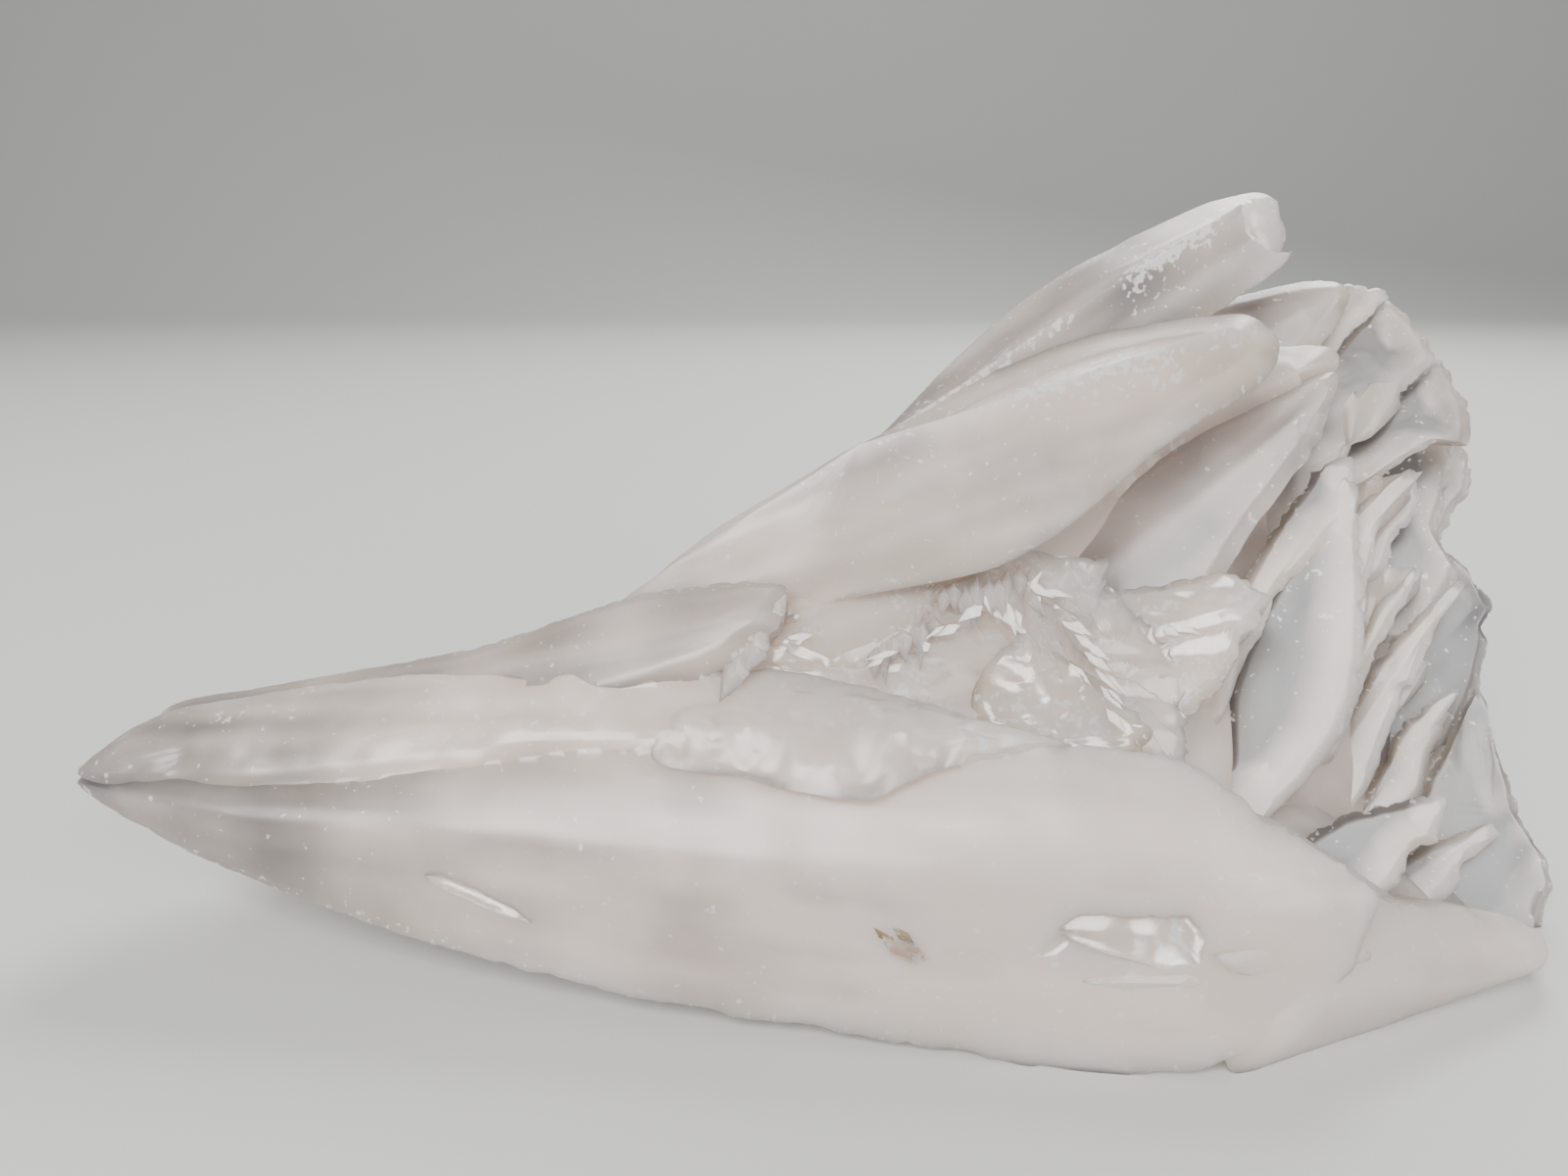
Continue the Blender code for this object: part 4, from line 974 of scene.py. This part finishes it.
def keep_outer_shell(bm):
    """Drops closed bubbles between crystals, and leaves the one outer surface."""
    unseen = set(bm.faces)
    shells = []
    while unseen:
        stack = [unseen.pop()]
        shell = []
        while stack:
            face = stack.pop()
            shell.append(face)
            for edge in face.edges:
                for other in edge.link_faces:
                    if other in unseen:
                        unseen.remove(other)
                        stack.append(other)
        shells.append(shell)
    shells.sort(key=len)
    for shell in shells[:-1]:
        bmesh.ops.delete(bm, geom=shell, context="FACES")
    loose = [vert for vert in bm.verts if not vert.link_faces]
    bmesh.ops.delete(bm, geom=loose, context="VERTS")


def join_growth():
    """Unites the crystals, cuts the chips and the resting face, and clears the rest away."""
    growth = bpy.data.collections[GROWTH]
    base = growth.objects["heart_0"]
    cutters = chips() + [base_cutter()]
    for obj in [base] + cutters:
        growth.objects.unlink(obj)
        bpy.context.scene.collection.objects.link(obj)
    add_boolean(base, "UNION", operand_type="COLLECTION", collection=growth)
    for cutter in cutters:
        add_boolean(base, "DIFFERENCE", object=cutter)
    evaluated = base.evaluated_get(bpy.context.evaluated_depsgraph_get())
    mesh = bpy.data.meshes.new_from_object(evaluated)
    mesh.name = "grown_calcite"
    bm = bmesh.new()
    bm.from_mesh(mesh)
    keep_outer_shell(bm)
    bmesh.ops.triangulate(bm, faces=bm.faces)
    if len(bm.faces) > TRIANGLE_LIMIT or any(not edge.is_manifold for edge in bm.edges):
        raise RuntimeError(f"the joined body has {len(bm.faces)} triangles or is open")
    bm.to_mesh(mesh)
    bm.free()
    group = add_object("grown_calcite", mesh)
    for obj in [base] + cutters + list(growth.objects):
        bpy.data.objects.remove(obj)
    bpy.data.collections.remove(growth)
    return group


# ---------------------------------------------------------------- materials

def srgb(code):
    """An sRGB hex colour as linear red, green, blue and full alpha."""
    values = [int(code[i:i + 2], 16) / 255 for i in (1, 3, 5)]
    linear = [v / 12.92 if v <= 0.04045 else ((v + 0.055) / 1.055) ** 2.4 for v in values]
    return (*linear, 1.0)


def add_node(tree, kind, inputs=None, **settings):
    """Adds a node, sets its properties, and sets or links its inputs."""
    node = tree.nodes.new("ShaderNode" + kind)
    for key, value in settings.items():
        setattr(node, key, value)
    for key, value in (inputs or {}).items():
        if isinstance(value, bpy.types.NodeSocket):
            tree.links.new(value, node.inputs[key])
        else:
            node.inputs[key].default_value = value
    return node


def mixed(tree, factor, first, second):
    """The colour socket of a mix that goes from the first colour to the second."""
    mix = add_node(tree, "Mix", {"Factor": factor, "A": first, "B": second}, data_type="RGBA")
    return mix.outputs["Result"]


def times_plus(tree, value, factor, offset):
    """The socket of value times factor plus offset."""
    result = add_node(tree, "Math", {0: value, 1: factor, 2: offset}, operation="MULTIPLY_ADD")
    return result.outputs[0]


def noise(tree, size_mm, detail):
    """The socket of smooth noise whose features have this size, in millimetres."""
    place = add_node(tree, "TexCoord").outputs["Object"]
    clouds = add_node(tree, "TexNoise", {"Vector": place, "Scale": 1 / (size_mm * MM),
                                        "Detail": detail})
    return clouds.outputs["Fac"]


def calcite_colour(tree, settings, looks):
    """The colour socket of the calcite.

    Milk in clouds of fluid inclusions, with the dark clear colour where the milk is low (clear
    calcite, and painted shade on plates that a neighbour overlaps), rust where a crystal
    carries iron, and a frost of white ticks on the rims and bruised faces.
    """
    milk, edge, iron, _ = looks
    veiled = times_plus(tree, noise(tree, VEIL_SIZE, detail=3.0), VEIL_SHARE, milk)
    cloudy = add_node(tree, "MapRange", {"Value": veiled, "From Min": CLEAR_AND_SHADE_BELOW,
                                         "From Max": CLOUDY_ABOVE})
    # where the milk is low the colour goes to the dark clear colour: clear calcite, and painted shade
    # on plates that a neighbour overlaps
    body = mixed(tree, cloudy.outputs[0], settings.clear_and_shade_colour, settings.milk_colour)
    rusty = mixed(tree, iron, body, settings.iron_colour)
    near_rim = times_plus(tree, edge, TICK_EDGE, noise(tree, TICK_SIZE, detail=1.0))
    frost = add_node(tree, "MapRange", {"Value": near_rim, "From Min": TICK_FROM,
                                        "From Max": TICK_FULL, "To Max": TICK_WHITEST})
    return mixed(tree, frost.outputs[0], rusty, settings.frost_colour)


def milky_calcite(settings):
    """Calcite, as grown and as cleaved, cloudy with tiny fluid inclusions.

    The eye gets a waxy, half-clear white. Grown faces are satin and fresh breaks glassy,
    thin plates are clearer and greyer, the grey partly painted shade where a neighbour
    overlaps them, rims and cracks whiter, and a breath of iron warms a few edges.
    """
    material = bpy.data.materials.new("cloudy_calcite")
    material.use_nodes = True
    tree = material.node_tree
    tree.nodes.clear()
    looks = [add_node(tree, "Attribute", attribute_name=key).outputs["Fac"] for key in LOOKS]
    polish = add_node(tree, "MapRange", {"Value": looks[-1], "To Min": GROWN_ROUGHNESS,
                                         "To Max": BROKEN_ROUGHNESS})
    shader = add_node(tree, "BsdfPrincipled", {
        "Base Color": calcite_colour(tree, settings, looks),
        "Roughness": polish.outputs[0],
        "IOR": CALCITE_IOR,
        "Transmission Weight": TRANSMISSION,
        "Subsurface Weight": 1.0,
        "Subsurface Radius": SCATTER_RADIUS,
        "Subsurface Scale": SCATTER_DEPTH * MM,
    })
    absorption = add_node(tree, "VolumeAbsorption", {"Color": srgb(ABSORPTION_COLOUR),
                                                     "Density": ABSORPTION_DENSITY})
    add_node(tree, "OutputMaterial", {"Surface": shader.outputs[0],
                                      "Volume": absorption.outputs[0]})
    return material


def painted_board(settings):
    """Matt painted board for the table: one pale, even tone."""
    material = bpy.data.materials.new("painted_board")
    material.use_nodes = True
    shader = material.node_tree.nodes["Principled BSDF"]
    shader.inputs["Base Color"].default_value = settings.floor_colour
    shader.inputs["Roughness"].default_value = BOARD_ROUGHNESS
    return material


# ---------------------------------------------------------------- stage

def table_surface():
    """A table that curves up into a backdrop: a straight profile swept along X.

    The profile runs back along the flat top, up a quarter circle and up the wall.
    """
    bend = np.linspace(0, math.pi / 2, SWEEP_STEPS)
    back = np.concatenate(([-TABLE_HALF], TABLE_BACK + SWEEP_CURVE * np.sin(bend),
                           [TABLE_BACK + SWEEP_CURVE]))
    up = np.concatenate(([0], SWEEP_CURVE * (1 - np.cos(bend)), [BACKDROP_HEIGHT]))
    points = [(x, y, z) for x in (-TABLE_HALF, TABLE_HALF) for y, z in zip(back, up)]
    rows = len(back)
    faces = [(i, i + rows, i + rows + 1, i + 1) for i in range(rows - 1)]
    return points, faces


def add_area_light(name, place, aim, size, power):
    """A square soft white light at a place, turned towards a point, in metres."""
    light = bpy.data.lights.new(name, "AREA")
    light.size = size
    light.energy = power
    obj = add_object(name, light)
    obj.location = place
    obj.rotation_euler = (Vector(aim) - Vector(place)).to_track_quat("-Z", "Y").to_euler()


def add_surroundings(strength):
    """An even pale light from all sides."""
    world = bpy.data.worlds.new("studio")
    world.use_nodes = True
    background = world.node_tree.nodes["Background"]
    background.inputs["Color"].default_value = srgb(SURROUNDINGS)
    background.inputs["Strength"].default_value = strength
    bpy.context.scene.world = world


def add_camera():
    """The camera at its place, level and looking down along +Y."""
    camera = bpy.data.cameras.new("camera")
    camera.sensor_width = SENSOR
    camera.lens = SENSOR * FOCAL
    camera.clip_start = CLIP_START
    obj = add_object("camera", camera)
    obj.location = np.array(EYE) * MM
    obj.rotation_euler = (math.pi / 2 - PITCH, 0, 0)
    bpy.context.scene.camera = obj


# ---------------------------------------------------------------- add-on

def colour_setting(name, description, code):
    """A colour property with an sRGB hex colour as its default."""
    return bpy.props.FloatVectorProperty(name=name, description=description, size=4,
                                         subtype="COLOR", min=0, max=1, default=srgb(code))


class CalciteSettings(bpy.types.PropertyGroup):
    """Colours and lights that a user would change."""

    milk_colour: colour_setting("Milk colour", "Cloudy calcite", "#F4E5DC")
    # a dark grey for clear calcite, which also paints the shade on plates that a neighbour overlaps
    clear_and_shade_colour: colour_setting("Clear colour", "Thin, clear plates", "#666364")
    frost_colour: colour_setting("Frost colour", "White ticks along the edges", "#FFFFFF")
    iron_colour: colour_setting("Iron colour", "Rust on edges and in the pit", "#A89468")
    floor_colour: colour_setting("Floor colour", "The table", "#B4B4B2")
    light_power: bpy.props.FloatProperty(
        name="Light power", description="Power of the main light", default=21.0, unit="POWER")
    world_strength: bpy.props.FloatProperty(
        name="Surroundings", description="Strength of the even light from all sides",
        default=0.38)


class CALCITE_OT_heart(bpy.types.Operator):
    """Grows the solid middle that the blades start from"""

    bl_idname = "calcite.heart"
    bl_label = "Heart"

    def execute(self, context):
        grow("heart", heart(), first_seed=100)
        return {"FINISHED"}


class CALCITE_OT_blades(bpy.types.Operator):
    """Grows the big front blade, its ledge, crust and lips, the ridge and the toe"""

    bl_idname = "calcite.blades"
    bl_label = "Front blades"

    def execute(self, context):
        grow("blade", front_blades(), first_seed=300)
        return {"FINISHED"}


class CALCITE_OT_fingers(bpy.types.Operator):
    """Grows the three blunt fingers and the flat plates behind them"""

    bl_idname = "calcite.fingers"
    bl_label = "Fingers"

    def execute(self, context):
        grow("finger", fingers(), first_seed=500)
        grow("back_plate", back_plates(), first_seed=600)
        return {"FINISHED"}


class CALCITE_OT_shelves(bpy.types.Operator):
    """Grows the shoulder, the frayed shelf, the hollow's broken layers and their splinters"""

    bl_idname = "calcite.shelves"
    bl_label = "Shelves and broken layers"

    def execute(self, context):
        grow("shelf", shelves(), first_seed=700)
        grow("terrace", terraces(), first_seed=760)
        broken_edges()
        glints()
        return {"FINISHED"}


class CALCITE_OT_fan(bpy.types.Operator):
    """Grows the thin ragged plates of the fan"""

    bl_idname = "calcite.fan"
    bl_label = "Fan"

    def execute(self, context):
        grow("upper_fan", upper_fan(), first_seed=900)
        grow("lower_fan", lower_fan(), first_seed=1100)
        return {"FINISHED"}


class CALCITE_OT_rear(bpy.types.Operator):
    """Grows the crystals of the far side"""

    bl_idname = "calcite.rear"
    bl_label = "Rear crystals"

    def execute(self, context):
        grow("rear", rear_crystals(), first_seed=1300)
        return {"FINISHED"}


class CALCITE_OT_join(bpy.types.Operator):
    """Joins the crystals into one body and gives it its finish"""

    bl_idname = "calcite.join"
    bl_label = "Join and finish"

    def execute(self, context):
        group = join_growth()
        mesh = group.data
        mesh.materials.clear()
        mesh.materials.append(milky_calcite(context.scene.calcite))
        mesh.shade_smooth()
        mesh.set_sharp_from_angle(angle=SHARP_ANGLE)
        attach(group, "root")
        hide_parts(NODE)
        return {"FINISHED"}


class CALCITE_OT_stage(bpy.types.Operator):
    """Sets up the table, the soft lights, the surroundings and the camera"""

    bl_idname = "calcite.stage"
    bl_label = "Stage"

    def execute(self, context):
        settings = context.scene.calcite
        points, faces = table_surface()
        mesh = bpy.data.meshes.new("table")
        mesh.from_pydata(points, [], faces)
        mesh.shade_smooth()
        mesh.materials.append(painted_board(settings))
        table = add_object("table", mesh)
        for name, place, width, share in LIGHTS:
            add_area_light(name, place, LIGHT_AIM, width, share * settings.light_power)
        add_surroundings(settings.world_strength)
        add_camera()
        return {"FINISHED"}


class CALCITE_PT_panel(bpy.types.Panel):
    """Lists the steps in the sidebar of the 3D view"""

    bl_idname = "CALCITE_PT_panel"
    bl_label = "Calcite crystal group"
    bl_space_type = "VIEW_3D"
    bl_region_type = "UI"
    bl_category = "Calcite"

    def draw(self, context):
        settings = context.scene.calcite
        for name in CalciteSettings.__annotations__:
            self.layout.prop(settings, name)
        for operator in STEPS:
            self.layout.operator(operator.bl_idname)


STEPS = (CALCITE_OT_heart, CALCITE_OT_blades, CALCITE_OT_fingers, CALCITE_OT_shelves,
         CALCITE_OT_fan, CALCITE_OT_rear, CALCITE_OT_join, CALCITE_OT_stage)
CLASSES = (CalciteSettings,) + STEPS + (CALCITE_PT_panel,)


def register():
    for cls in CLASSES:
        bpy.utils.register_class(cls)
    bpy.types.Scene.calcite = bpy.props.PointerProperty(type=CalciteSettings)


def unregister():
    del bpy.types.Scene.calcite
    for cls in reversed(CLASSES):
        bpy.utils.unregister_class(cls)


def main():
    register()
    for step in STEPS:
        group, name = step.bl_idname.split(".")
        getattr(getattr(bpy.ops, group), name)()


if __name__ == "__main__":
    main()
